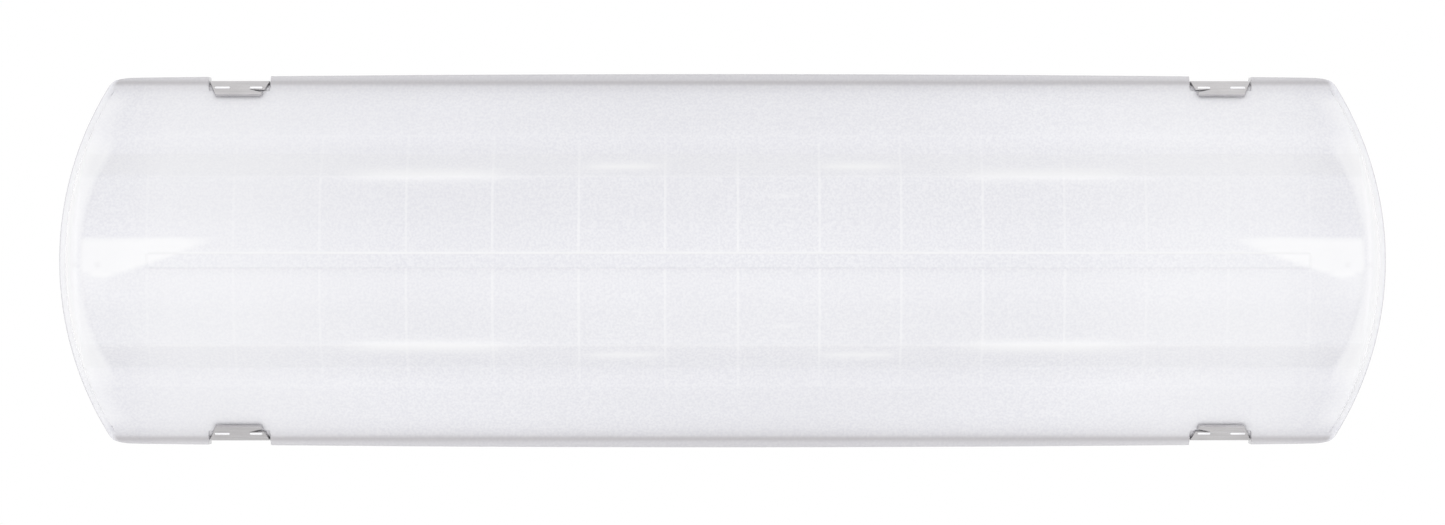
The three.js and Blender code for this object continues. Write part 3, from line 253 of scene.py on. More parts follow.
def on_wall(points):
    """Bench millimetres to the part's metres."""
    x, y, z = np.moveaxis(np.asarray(points, float), -1, 0)
    return np.stack([x, -z, y], -1) * MM


class Shape:
    """Points and faces in bench millimetres, each face marked with the finish that it takes."""

    def __init__(self):
        self.points, self.faces, self.marks = [], [], []

    def add(self, points, faces, mark=0):
        start = len(self.points)
        self.points.extend(np.asarray(points, float).tolist())
        self.faces.extend([[int(i) + start for i in face] for face in faces])
        self.marks.extend([mark] * len(faces))
        return self

    def box(self, low, high, mark=0):
        x, y, z = zip(low, high)
        corners = [(x[i], y[j], z[k]) for i in (0, 1) for j in (0, 1) for k in (0, 1)]
        sides = [(0, 1, 3, 2), (4, 6, 7, 5), (0, 4, 5, 1), (2, 3, 7, 6), (0, 2, 6, 4), (1, 5, 7, 3)]
        return self.add(corners, sides, mark)

    def block(self, middle, halves, heights, mark=0):
        """A box round a middle in x and y, between two heights."""
        (x, y), (a, b), (low, high) = middle, halves, heights
        return self.box((x - a, y - b, low), (x + a, y + b, high), mark)

    def skin(self, rings, mark=0, closed=False):
        """A skin over rings of points: closed joins the last to the first, else both are capped."""
        count, size = len(rings), len(rings[0])
        faces = []
        for ring in range(count if closed else count - 1):
            low, high = ring * size, (ring + 1) % count * size
            for i in range(size):
                after = (i + 1) % size
                faces.append((low + i, low + after, high + after, high + i))
        if not closed:
            faces.append(list(range(size))[::-1])
            faces.append([(count - 1) * size + i for i in range(size)])
        return self.add(np.concatenate(rings), faces, mark)

    def turned(self, profile, axis, centre, sides=40, mark=0, closed=False, phase=0.0):
        """A profile of (along, radius) turned round an axis; closed makes it a ring."""
        angle = phase + 2 * math.pi * np.arange(sides) / sides
        rings = []
        for along, radius in profile:
            a, b = radius * np.cos(angle), radius * np.sin(angle)
            flat = np.full(sides, float(along))
            order = {"x": (flat, a, b), "z": (a, b, flat)}[axis]
            rings.append(np.stack(order, -1) + np.array(centre, float))
        return self.skin(rings, mark, closed)


def rod(axis, low, high, radius, centre, sides=24):
    """A round rod along an axis of the bench."""
    return Shape().turned([(low, radius), (high, radius)], axis, centre, sides)


def prism(outline, low, high):
    """A flat outline of (x, y) points carried along z."""
    return Shape().skin([[(x, y, z) for x, y in outline] for z in (low, high)])


def bent(corners, radius, steps=6):
    """Places and outward directions along a line of (a, b) corners whose bends are rounded."""
    corners = [np.array(corner, float) for corner in corners]
    ways = [(b - a) / np.hypot(*(b - a)) for a, b in zip(corners, corners[1:])]
    found = [(corners[0], ways[0])]
    for corner, way, after in zip(corners[1:], ways, ways[1:]):
        turn = math.atan2(way[0] * after[1] - way[1] * after[0], way @ after)
        left = math.copysign(1, turn) * np.array([-way[1], way[0]])
        start = corner - way * radius * math.tan(abs(turn) / 2)
        centre = start + radius * left
        for share in np.linspace(0, 1, steps + 1):
            c, s = math.cos(turn * share), math.sin(turn * share)
            spin = np.array([[c, -s], [s, c]])
            found.append((centre - radius * (spin @ left), spin @ way))
    found.append((corners[-1], ways[-1]))
    return [(*place, way[1], -way[0]) for place, way in found]


def strip(line, halves, thickness, x, side=1):
    """A strip of sheet along a bent line in y and z, centred on x; side -1 mirrors it."""
    rings = []
    for (y, z, out_y, out_z), half in zip(line, halves):
        y_out, z_out = out_y * thickness / 2, out_z * thickness / 2
        inner, outer = (side * (y - y_out), z - z_out), (side * (y + y_out), z + z_out)
        near, far = x - half, x + half
        rings.append([(near, *inner), (far, *inner), (far, *outer), (near, *outer)])
    return Shape().skin(rings)


def cleaned(mesh, smooth):
    """Drops faces without area, turns the rest outwards and smooths the rounds."""
    work = bmesh.new()
    work.from_mesh(mesh)
    bmesh.ops.remove_doubles(work, verts=work.verts, dist=MERGE_DISTANCE)
    bmesh.ops.dissolve_degenerate(work, edges=work.edges, dist=MERGE_DISTANCE)
    bmesh.ops.recalc_face_normals(work, faces=work.faces)
    work.to_mesh(mesh)
    work.free()
    mesh.shade_smooth()
    mesh.set_sharp_from_angle(angle=math.radians(smooth))


def linked(name, data):
    """An object of some data, put in the scene."""
    thing = bpy.data.objects.new(name, data)
    bpy.context.scene.collection.objects.link(thing)
    return thing


def bare(name, shape, smooth=SMOOTH):
    """An object of a shape, without finishes."""
    mesh = bpy.data.meshes.new(name)
    mesh.from_pydata(on_wall(shape.points).tolist(), [], shape.faces)
    mesh.polygons.foreach_set("material_index", shape.marks)
    cleaned(mesh, smooth)
    return linked(name, mesh)


def carved(thing, tools, operation="DIFFERENCE", smooth=SMOOTH):
    """The object after a boolean with some shapes, which are then gone."""
    cutters = [bare("tool", tool) for tool in tools]
    for cutter in cutters:
        made = thing.modifiers.new("carve", "BOOLEAN")
        made.operation, made.solver, made.object = operation, "EXACT", cutter
    bpy.context.view_layer.update()
    seen = thing.evaluated_get(bpy.context.evaluated_depsgraph_get())
    done = bpy.data.meshes.new_from_object(seen)
    thing.modifiers.clear()
    thing.data = done
    for cutter in cutters:
        bpy.data.objects.remove(cutter)
    cleaned(done, smooth)
    return thing


def piece(thing, slot, *nodes, bevel=0.0, body="fixture", segments=2, looks=()):
    """Gives an object its finishes (its slot's if no looks) and body, and hides its CAD nodes."""
    for look in looks or [slot]:
        thing.data.materials.append(finishes[look])
    if nodes:
        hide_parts(*nodes)
    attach(thing, body)
    if bevel:
        made = thing.modifiers.new("edges", "BEVEL")
        made.width, made.segments, made.limit_method = bevel * MM, segments, "ANGLE"
        made.angle_limit, made.harden_normals = BEVEL_ANGLE, False


def build(name, shape, slot, *nodes, cuts=(), smooth=SMOOTH, **more):
    """Makes a piece of a shape, less the shapes that are cut from it."""
    made = bare(name, shape, smooth)
    if cuts:
        carved(made, cuts, smooth=smooth)
    piece(made, slot, *nodes, **more)


def mark_points(thing, **layers):
    """Keeps a number for each point of a mesh, by name, for its material."""
    for name, values in layers.items():
        layer = thing.data.attributes.new(name, "FLOAT", "POINT")
        layer.data.foreach_set("value", values.astype(np.float32))


# Lens


def arc(radius, across):
    """How far a circle stands out at a distance from its middle."""
    return np.sqrt(np.maximum(radius**2 - across**2, 0))


class Outline:
    """The fixture's outline, moved in: an arc at each end, a long arc each side, round corners."""

    def __init__(self, inset):
        corner = max(CORNER_RADIUS - inset, SMALLEST_CORNER)
        self.inset, self.corner = inset, corner
        self.side_radius = (HALF_LENGTH**2 + SIDE_BOW**2) / (2 * SIDE_BOW) - inset
        self.end_radius = END_RADIUS - inset
        self.end = np.array([HALF_LENGTH - inset - self.end_radius, 0])
        self.side = np.array([0, HALF_WIDTH - inset - self.side_radius])
        apart = self.side - self.end
        span = np.hypot(*apart)
        end_reach, side_reach = self.end_radius - corner, self.side_radius - corner
        along = (span**2 + end_reach**2 - side_reach**2) / (2 * span)
        across = math.sqrt(end_reach**2 - along**2)
        along_unit = apart / span
        across_unit = np.array([-along_unit[1], along_unit[0]])
        self.centre = self.end + along * along_unit + across * across_unit
        to_end = (self.centre - self.end) / end_reach
        to_side = (self.centre - self.side) / side_reach
        middle = (to_end + to_side) / np.hypot(*(to_end + to_side))
        self.end_tangent = self.end + to_end * self.end_radius
        self.side_tangent = self.side + to_side * self.side_radius
        self.tip = self.centre + corner * middle

    def side_y(self, x):
        """How far the long side reaches at a place along it, up to the middle of the corner."""
        side = self.side[1] + arc(self.side_radius, x)
        corner = self.centre[1] + arc(self.corner, x - self.centre[0])
        return np.where(x <= self.side_tangent[0], side, corner)

    def end_x(self, y):
        """How far the end reaches at a place across it, up to the middle of the corner."""
        end = self.end[0] + arc(self.end_radius, y)
        corner = self.centre[0] + arc(self.corner, y - self.centre[1])
        return np.where(y <= self.end_tangent[1], end, corner)


def rise(value, span):
    """0 to 1 while a value goes from 0 to a span."""
    return np.clip(value / span, 0, 1)


def notch(x):
    """How far each place lies inside a latch's notch, 0 to 1, and the notch's face there."""
    share = np.zeros_like(x)
    face = np.full_like(x, HALF_WIDTH)
    for end, place in LATCHES.items():
        inside = rise(NOTCH_HALF + NOTCH_SLOPE - np.abs(x - place), NOTCH_SLOPE)
        share = np.maximum(share, inside)
        face = np.where(inside > 0, POCKETS[end], face)
    return share, face


def fitted(outline, columns, rows, notched=True):
    """Grid points of one outline: straight lines in the middle, bent to the outline near its edge.

    Towards an end the columns follow its curve, so that the foot of the end wall lies on one.
    """
    u, v = np.abs(columns), np.abs(rows)
    near_u, near_v = np.minimum(u, STRAIGHT_X), np.minimum(v, STRAIGHT_Y)
    u_share = rise(u - STRAIGHT_X, HALF_LENGTH - STRAIGHT_X)
    v_share = rise(v - STRAIGHT_Y, HALF_WIDTH - STRAIGHT_Y)
    reach_y = outline.side_y(near_u + u_share * (outline.tip[0] - STRAIGHT_X))
    reach_x = outline.end_x(near_v + v_share * (outline.tip[1] - STRAIGHT_Y))
    if notched:
        inside, face = notch(columns)
        cut = np.minimum(reach_y, face - min(outline.inset, 1) * 0.5)
        reach_y = reach_y + (cut - reach_y) * inside
    room = reach_x - STRAIGHT_X
    walled = rise(room - LEAST_END_ROOM, END_DEPTH) * END_DEPTH
    steps = (HALF_LENGTH - np.maximum(u, STRAIGHT_X))[:, None]
    inner = (steps - END_DEPTH) / (HALF_LENGTH - STRAIGHT_X - END_DEPTH) * (room - walled)
    from_edge = np.where(steps < END_DEPTH, steps / END_DEPTH * walled, walled + inner)
    x = near_u[:, None] + room - from_edge
    y = near_v[None, :] + v_share[None, :] * (reach_y[:, None] - STRAIGHT_Y)
    return x * np.sign(columns)[:, None], y * np.sign(rows)[None, :]


def softened(values, step, radius):
    """A sampled line with its corners rounded."""
    reach = int(3 * radius / step)
    kernel = np.exp(-0.5 * (np.arange(-reach, reach + 1) * step / radius) ** 2)
    padded = np.pad(values, reach, mode="edge")
    return np.convolve(padded, kernel / kernel.sum(), mode="valid")


def profile_line(step=0.1, beyond=5, crisp_radius=0.55, round_radius=1.5):
    """Height of the lens across it, from the middle to beyond its long side."""
    y = np.arange(0, HALF_WIDTH + beyond, step)
    share = rise(SLOPE_FOOT - y, SLOPE_FOOT - SHOULDER_FOOT)
    slope = FLANGE_TOP + SHOULDER_FOOT_RISE * share + 4 * SLOPE_BULGE * share * (1 - share)
    climb = rise(SHOULDER_FOOT - y, SHOULDER_FOOT - PLATEAU_EDGE)
    shoulder = FLANGE_TOP + SHOULDER_FOOT_RISE + (PLATEAU_RISE - SHOULDER_FOOT_RISE) * climb
    crown = CROWN - (CROWN_RISE - PLATEAU_RISE) * (y / PLATEAU_EDGE) ** 2
    flange = FLANGE_TOP - FLANGE_FALL * (y - SLOPE_FOOT) / (HALF_WIDTH + beyond - SLOPE_FOOT)
    parts = [y < PLATEAU_EDGE, y < SHOULDER_FOOT, y < SLOPE_FOOT]
    z = np.select(parts, [crown, shoulder, slope], flange)
    both = np.concatenate([z[:0:-1], z])
    crisp = softened(both, step, crisp_radius)[len(z) - 1 :]
    rounded = softened(both, step, round_radius)[len(z) - 1 :]
    near = np.clip(2 - np.abs(y - PLATEAU_EDGE) / 3, 0, 1)
    return y, crisp + (rounded - crisp) * near


PROFILE_Y, PROFILE_Z = profile_line()


def end_wall(x, y):
    """Height of the curved end wall over a point."""
    turn = np.linspace(0, QUARTER, 60)
    curl = 1 - np.cos(turn)
    inset = END_LEDGE + END_WALL_RUN * curl
    radius = END_RADIUS + (CROWN_END_RADIUS - END_RADIUS) * curl
    height = FLANGE_TOP + (CROWN_RISE + FLANGE_FALL) * np.sin(turn)
    z = np.empty_like(x)
    for at in np.ndindex(x.shape[1:]):
        column = (slice(None),) + at
        across = np.abs(y[column])
        reach = HALF_LENGTH - inset - radius + arc(radius, across[:, None])
        along = np.abs(x[column])
        z[column] = [np.interp(a, r[::-1], height[::-1]) for a, r in zip(along, reach)]
    return z


def soft_least(a, b, size):
    """The lesser of two heights, with the crease between them rounded."""
    near = np.clip(0.5 + 0.5 * (b - a) / size, 0, 1)
    return b + (a - b) * near - size * near * (1 - near)


def lens_height(x, y, crease=2.6):
    """The lens's outer face over the fixture, without its round edge and notches."""
    profile = np.interp(np.abs(y), PROFILE_Y, PROFILE_Z)
    far = np.abs(x) > STRAIGHT_X
    wall = np.full_like(x, CROWN + FLANGE_FALL)
    columns = np.where(far.any(axis=1))[0]
    wall[columns] = end_wall(x[columns], y[columns])
    size = crease * np.clip((np.minimum(profile, wall) - FLANGE_TOP) / 6, 0.02, 1)
    return soft_least(profile, wall, size)


def plateau(distance, half, slope):
    """1 within half of a line's middle, falling to 0 over slope."""
    return rise(half + slope / 2 - np.abs(distance), slope)


def rib_mask(x, y):
    """Where a moulded rib stands inside the lens."""
    within = plateau(np.abs(y) - (BEAD_HALF + RIB_SPAN) / 2, (RIB_SPAN - BEAD_HALF) / 2, 0.6)
    cross = np.max([plateau(x - place, RIB_WIDTH / 2, 0.4) for place in RIBS], axis=0) * within
    long = plateau(np.abs(y) - RIB_SPAN, RIB_WIDTH / 2, 0.4)
    return np.maximum(cross, long * plateau(x - RIBS_MIDDLE, RIBS_REACH, 0.6))


def bead_mask(x, y):
    """Where the raised bead runs along the lens's middle."""
    return plateau(y, BEAD_HALF - 0.3, 0.7) * plateau(x - RIBS_MIDDLE, RIBS_REACH, 0.8)


def spread(places, least=0.18):
    """Sorted places without those closer than a least distance."""
    kept = []
    for place in sorted(places):
        if not kept or place - kept[-1] > least:
            kept.append(place)
    return kept


def mirrored(places):
    return np.array([-p for p in places[::-1] if p > 0] + list(places))


def apart_from(places, fixed, least):
    """Those places that keep a least distance from some fixed ones."""
    return [p for p in places if min(abs(p - q) for q in fixed) > least]


def lens_columns():
    fixed = [rib + d for rib in RIBS for d in LINE_STEPS]
    for place in LATCHES.values():
        for side in (-1, 1):
            fixed += [place + side * (NOTCH_HALF + d) for d in (-0.01, NOTCH_SLOPE + 0.02)]
    turn = np.radians(np.arange(0, 91, 7.5))
    ends = [
        *np.arange(STRAIGHT_X, HALF_LENGTH - END_DEPTH, 1),
        *(HALF_LENGTH - END_LEDGE - END_WALL_RUN * (1 - np.cos(turn))),
        *np.arange(HALF_LENGTH - END_LEDGE, HALF_LENGTH - 1.3, 0.8),
        *(HALF_LENGTH - ROUND_STEPS),
    ]
    plain = apart_from(np.arange(-STRAIGHT_X, STRAIGHT_X, 2.6), fixed, 1.2)
    return np.array(spread(fixed + plain + ends + [-e for e in ends]))


def lens_rows():
    fixed = [0, *(BEAD_HALF + d for d in BEAD_STEPS), *(RIB_SPAN + d for d in LINE_STEPS)]
    fixed += [*(HALF_WIDTH - ROUND_STEPS), *(HALF_WIDTH - d for d in RIM_STEPS[1:-1])]
    for crease in (PLATEAU_EDGE, SHOULDER_FOOT, SLOPE_FOOT):
        fixed += [crease + d for d in CREASE_STEPS]
    plain = apart_from(np.arange(1.5, HALF_WIDTH - 1.5, 1.8), fixed, 0.9)
    return mirrored(spread(fixed + plain))


def grid_faces(start, wide, deep, flip=False):
    i, j = np.meshgrid(np.arange(wide - 1), np.arange(deep - 1), indexing="ij")
    a = start + i * deep + j
    quads = np.stack([a, a + deep, a + deep + 1, a + 1], -1).reshape(-1, 4)
    return quads[:, ::-1] if flip else quads


def border(wide, deep):
    """Grid indices round the border, counterclockwise."""
    grid = np.arange(wide * deep).reshape(wide, deep)
    return np.concatenate([grid[:-1, 0], grid[-1, :-1], grid[:0:-1, -1], grid[0, :0:-1]])


def strip_faces(upper, lower):
    return np.stack([upper, lower, np.roll(lower, -1), np.roll(upper, -1)], -1)


def joined(x, y, z):
    """A list of points from three grids."""
    return np.stack([x, y, z], -1).reshape(-1, 3)


def lens_top(columns, rows):
    """The lens's outer face, with its bead, its seats for the latches and its round edge."""
    x, y = fitted(Outline(0), columns, rows)
    z = lens_height(x, y) + BEAD_HEIGHT * bead_mask(x, y)
    inside, face = notch(columns)
    seat = LENS_EDGE + LATCH_SEAT_FOOT + face[:, None] - np.abs(y)
    at_side = np.abs(rows)[None, :] > STRAIGHT_Y
    z = np.where((inside[:, None] > 0.5) & at_side, np.minimum(z, seat), z)
    in_end, in_side = HALF_LENGTH - np.abs(columns), HALF_WIDTH - np.abs(rows)
    ledge = np.minimum(rise(in_end, END_LEDGE)[:, None], rise(in_side, END_LEDGE)[None, :])
    flange = FLANGE_TOP - FLANGE_FALL * (1 - ledge)
    z = np.where(ledge < 1, np.minimum(z, flange), z)
    fall_x = np.interp(in_end, ROUND_STEPS, ROUND_FALL)[:, None]
    fall_y = np.interp(in_side, ROUND_STEPS, ROUND_FALL)[None, :]
    return joined(x, y, z - np.maximum(fall_x, fall_y))


def lens_inside(columns, rows, step=0.4):
    """The lens's inner face, a wall's thickness in, with its ribs."""
    x, y = fitted(Outline(MOUTH_INSET), columns, rows)
    rise_x = (lens_height(x + step, y) - lens_height(x - step, y)) / (2 * step)
    rise_y = (lens_height(x, y + step) - lens_height(x, y - step)) / (2 * step)
    lean = np.sqrt(1 + np.minimum(rise_x**2 + rise_y**2, 3))
    z = lens_height(x, y) - LENS_WALL * lean - RIB_HEIGHT * rib_mask(x, y)
    return joined(x, y, np.maximum(z, LENS_EDGE + 0.4))


def lens_rings(columns, rows):
    """Rings of points down the skirt, round its lower edge and up to the mouth."""
    round_edge = ((0, 0.5), (0.15, 0.15), (0.5, 0))
    rings = [(inset, SKIRT_EDGE + up) for inset, up in round_edge]
    rings += [(LENS_WALL - inset, SKIRT_EDGE + up) for inset, up in round_edge[::-1]]
    rings += [(LENS_WALL, LENS_EDGE), (MOUTH_INSET, LENS_EDGE)]
    inside = notch(columns)[0][:, None] * np.ones((1, len(rows)))
    loop = border(len(columns), len(rows))
    return [
        joined(*fitted(Outline(inset), columns, rows), low + (LENS_EDGE - low) * inside)[loop]
        for inset, low in rings
    ]


def lens_places(x, y):
    """Distances from the middle line, inside the curved end, and of the end wall's foot."""
    across = np.abs(y)
    end = HALF_LENGTH - END_RADIUS + arc(END_RADIUS, np.minimum(across, HALF_WIDTH))
    return across, end - np.abs(x), 16 + 3.5 * (np.minimum(across, 52) / 50) ** 2


def lens_rib_lines_and_highlights(x, y):
    """Pale rib lines, and painted highlights on the bead's upper edge and the plateau's crease."""
    across = np.abs(y)
    within = plateau(x - RIBS_MIDDLE, RIBS_REACH, 2)
    cross = np.max([plateau(x - place, 0.5, 0.6) for place in RIBS], axis=0)
    cross = cross * (across < RIB_SPAN) * (across > BEAD_HALF + 0.3)
    cross = cross * np.interp(across, (PLATEAU_EDGE, SHOULDER_FOOT + 3), (1, 0.4))
    cross = cross * (0.35 + 0.5 * np.exp(-((x / 200) ** 4)))
    long = 0.15 * plateau(across - RIB_SPAN, 0.5, 0.5)
    # Painted highlights: a thin line at the plateau's crease, and one on the bead's upper edge
    crease = 0.5 * plateau(across - PLATEAU_EDGE - 0.4, 0.4, 0.9)
    bead = plateau(y - BEAD_HALF - 0.05, 0.6, 0.5)
    return np.clip(np.maximum(cross, np.max([long, crease, bead], axis=0) * within), 0, 1)


def lens_painted_shade_and_gates(x, y):
    """How far the lens darkens: painted shade at its rim, edges, shoulders and bead; gate marks."""
    across, inside, wall_foot = lens_places(x, y)
    # Painted shade along the long rim, partly standing for the gasket seen through the flange
    rim = np.interp(HALF_WIDTH - across, RIM_STEPS, RIM_SHADE) * rise(inside - 1, 2.5)
    # Painted shade: a thin dark outline at the edge, a line at the end wall's foot, the shoulders,
    # under the bead
    edge = 0.35 * rise(0.8 - inside, 0.4)
    wall = 0.05 * plateau(inside - wall_foot - 0.9, 0.5, 1) * (across < 50)
    shoulder = 0.05 * rise(50 - inside, 25) * rise(inside - wall_foot, 1)
    shoulder = shoulder * np.interp(across, SHOULDER_BAND, (0, 1, 1, 0))
    bead = 0.06 * plateau(y + BEAD_HALF + 1.5, 0.5, 1.5) * rise(inside - 60, 20)
    # Moulded gate marks: small dark dots near each end, the lens's own
    gates = [
        0.12 * np.exp(-((np.abs(x) - place) ** 2 + (y - GATE_Y) ** 2) / 1.4)
        for place in GATE_PLACES
    ]
    return np.max([rim, edge, wall, shoulder, bead, *gates], axis=0)


def streak(x, across, strength, place, out, length, width):
    """A soft painted highlight: a streak of light beside the plateau's edge."""
    away = ((across - PLATEAU_EDGE - out) / (width / 2)) ** 2
    return strength * np.exp(-(((x - place) / (length / 2)) ** 4) - away)


def lens_painted_light(x, y):
    """Painted light and painted highlights: along the curved ends, in wedges, bands and streaks."""
    across, inside, wall_foot = lens_places(x, y)
    # Painted light: a bright band round the curved ends, standing in for light on the end walls
    wall = np.interp(inside, (0.5, 1.5, 8, 11, 14), (0, 1, 1, 0.9, 0.7))
    wall = wall * rise(wall_foot + 1 - inside, 3)
    slope = 0.7 * np.interp(inside, (0.5, 1.5, 9, 18), (0, 1, 0.7, 0))
    rim = wall + (slope - wall) * rise(across - 52, 12)
    rim = rim * rise(84 - across, 5)
    # Painted highlights: a wedge of reflected light near each end, with a soft glow below it
    low = np.interp(inside, (16, 22, 27, 48, 82), (-5, -8, -9, -2, 10))
    reach = rise(inside - wall_foot, 1) * np.interp(inside, (58, 70, 84), (1, 0.7, 0))
    wedge = rise(11 - y, 0.7) * rise(y - low + 1.25, 2.5) * reach
    glow = np.interp(y, (-27, -12, -6, 0), (0, 0.7, 1, 0)) * (inside > wall_foot)
    glow = 0.4 * glow * np.interp(inside, (10, 20, 40), (1, 1, 0))
    # Painted highlights: soft streaks of lamp reflections beside the shoulders
    marks = 0.75 * np.max([streak(x, across, *values) for values in STREAKS], axis=0)
    # Painted light: the upper shoulder band, the lower half and the ends made paler
    band = np.interp(across, SHOULDER_BAND, (0, 1, 1, 0)) * np.where(y > 0, 0.18, 0)
    below = 0.15 * np.interp(y, (-48, -40, -8, -4), (0, 1, 1, 0))
    ends = 0.28 * np.interp(np.abs(x), (160, 230, 275, 300), (0, 1, 1, 0))
    soft = np.maximum(0.9 * wedge, glow) + marks + band + below + ends
    return np.clip(rim + soft * rise(inside - wall_foot + 1, 2), 0, 1)


def lens():
    columns, rows = lens_columns(), lens_rows()
    wide, deep = len(columns), len(rows)
    upper = loop = border(wide, deep)
    points, faces = [lens_top(columns, rows)], [grid_faces(0, wide, deep)]
    start = wide * deep
    for ring in lens_rings(columns, rows):
        lower = start + np.arange(len(ring))
        points.append(ring)
        faces.append(strip_faces(upper, lower))
        upper, start = lower, start + len(ring)
    points.append(lens_inside(columns, rows))
    faces += [strip_faces(upper, start + loop), grid_faces(start, wide, deep, flip=True)]
    shape = Shape().add(np.concatenate(points), np.concatenate(faces))
    made = bare("lens_shell", shape, SMOOTH_ROUND)
    places = np.array([corner.co for corner in made.data.vertices]) / MM
    x, y = places[:, 0], places[:, 2]
    # Painted highlights, painted light and painted shade, kept on the points for the lens's
    # material
    mark_points(made, lines=lens_rib_lines_and_highlights(x, y), shade=lens_painted_shade_and_gates(x, y), pale=lens_painted_light(x, y))
    piece(made, "lens_frosted", "lens", body="lens_cover")


# Latches and their pins


def capsule(middle, length, radius):
    """A short round bar along x with rounded ends."""
    turn = np.linspace(0.05, QUARTER, 5)
    ball = [(radius * math.cos(a), radius * math.sin(a)) for a in turn]
    near = [(-length / 2 + radius - along, r) for along, r in ball]
    far = [(length / 2 - radius + along, r) for along, r in ball[::-1]]
    return Shape().turned(near + far, "x", middle, 12)


def latch_line(face):
    """The line of a latch's sheet, from its rolled knuckle up the rim and over the seat."""
    half = LATCH_THICKNESS / 2
    blade, tip = face - half, face - LATCH_REACH + half / math.sqrt(2)
    straight = bent([
        (blade, LATCH_PIVOT_HEIGHT),
        (blade, face + HOOK_LINE - blade),
        (tip, face + HOOK_LINE - tip),
    ], LATCH_BEND)
    pivot, curl = face - KNUCKLE_RADIUS, KNUCKLE_RADIUS - half
    knuckle = []
    for turn in np.radians(np.linspace(CURL_OPENING - 360, 0, 25)[:-1]):
        c, s = math.cos(turn), math.sin(turn)
        knuckle.append((pivot + curl * c, LATCH_PIVOT_HEIGHT + curl * s, c, s))
    return knuckle, straight


def latch(row, side, end):
    """A latch blade with two ridges and a wedge-shaped slot, wide at its bend."""
    place, face = LATCHES[end], LATCH_FACES[end]
    knuckle, straight = latch_line(face)
    narrow = LATCH_WIDTH / 2
    halves = [narrow] * (len(knuckle) + 1)
    halves += [narrow + LATCH_FLARE] * (len(straight) - 2) + [narrow - LATCH_TIP_TAPER]
    made = strip(knuckle + straight, halves, LATCH_THICKNESS, place, side)
    made = bare(f"latch_blade_{row}_{end}", made)
    inward = -math.copysign(1, place)
    ridge_y = face - RIDGE_SETBACK
    ridge_z = face + HOOK_LINE + LATCH_THICKNESS / math.sqrt(2) - ridge_y
    ridges = [
        capsule((place + inward * at, side * ridge_y, ridge_z), length, RIDGE_RADIUS)
        for at, length in RIDGES
    ]
    slot = [(place + inward * x, side * (face - y)) for x, y in HOOK_SLOT]
    carved(made, ridges, "UNION")
    carved(made, [prism(slot, *HOOK_SLOT_HEIGHTS)])
    corners = np.array([corner.co for corner in made.data.vertices]) / MM
    across, height = side * corners[:, 2], -corners[:, 1]
    # Painted highlight: the ridge tops are marked for a lighter colour standing in for their glints
    raised = height + across - ridge_z - ridge_y > RIDGE_SHOWS
    mark_points(made, worn=raised & (np.abs(across - ridge_y) < 1))
    node, body = f"latch_{row}_{end}", f"{row}_{end}_latch"
    piece(made, "latch_steel", node, bevel=0.28, body=body, segments=3, looks=["latch_sheet"])


def pin(row, side, end):
    """A latch pin with a domed head at each end."""
    head = [(PIN_HALF - inset, radius) for inset, radius in PIN_HEAD]
    profile = [(-along, radius) for along, radius in head] + head[::-1]
    middle = (LATCHES[end], side * (LATCH_FACES[end] - KNUCKLE_RADIUS), LATCH_PIVOT_HEIGHT)
    shape = Shape().turned(profile, "x", middle, 28)
    build(f"pin_{row}_{end}", shape, "screw_steel", f"latch_pin_{row}_{end}")


# Screws


def screw(name, place, seat, sizes, *nodes, way=1):
    """A pan head screw with a coarse thread, a pointed tip and a cross recess; way -1 points up."""
    radius, length, head, height = sizes
    core, pitch = CORE_SHARE * radius, 0.55 * radius
    profile = [(-length, 0.15), (-length + radius, core)]
    along = -length + 1.2 * radius
    while along < -1.2 * pitch:
        profile += [(along, core), (along + pitch / 2, radius)]
        along += pitch
    neck = 0.85 * radius
    profile += [(-0.3, neck), (0, neck), (0, head - 0.2), (0.15, head)]
    profile += [(up * height, out * head) for up, out in HEAD_SHARES]
    turned = [(seat + way * a, r) for a, r in profile]
    shape = Shape().turned(turned, "z", (*place, 0), 30)
    arm, wide = 0.55 * head, 0.12 * head
    heights = sorted((seat + way * 0.35 * height, seat + way * (height + 1)))
    cross = [Shape().block(place, halves, heights) for halves in ((arm, wide), (wide, arm))]
    build(name, shape, "screw_steel", *nodes, cuts=cross, smooth=SMOOTH_SMALL)


def screws():
    for index, x in enumerate(TRAY_SCREWS, 1):
        seat, node = TRAY_TOP + SEAT_GAP, f"tray_screw_{index}"
        screw(f"post_screw_{index}", (x, 0), seat, TRAY_SCREW, node)
    for node in sorted(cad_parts):
        name, place = "held_" + node, middle_of(node)
        if node.startswith("board_screw"):
            screw(name, place, BOARD_TOP + SEAT_GAP, BOARD_SCREW, node)
        elif node.startswith("driver_screw"):
            screw(name, place, DRIVER_TOP - DRIVER_EAR - SEAT_GAP, DRIVER_SCREW, node, way=-1)


# Tray, boards, driver and terminal block


def tray():
    (_, x1), (_, y1), _ = span_of("led_tray")
    half = TRAY_SHEET / 2
    edge, level, foot = y1 - half, TRAY_TOP - half, TRAY_TOP - TRAY_FOLD
    line = bent([(edge, foot), (edge, level), (-edge, level), (-edge, foot)], TRAY_BEND)
    section = [(y + v * half, z + w * half) for y, z, v, w in line]
    section += [(y - v * half, z - w * half) for y, z, v, w in line[::-1]]
    shape = Shape().skin([[(x, y, z) for y, z in section] for x in (-x1, x1)])
    middle = middle_of("tray_grommet")[0]
    holes = [rod("z", *HOLE_HEIGHTS, GROMMET_HOLE, (middle, 0, 0), 36)]
    holes += [rod("z", *HOLE_HEIGHTS, POST_HOLE, (x, 0, 0)) for x in TRAY_SCREWS]
    build("gear_tray", shape, "tray_white", "led_tray", cuts=holes, bevel=0.15)


# What the faces of a board and its plugs are marked with
BOARD, PLASTIC, TIN, PHOSPHOR, TRACK = range(5)
BOARD_LOOKS = ("board_white", "plug_white", "tin", "phosphor", "copper_track")


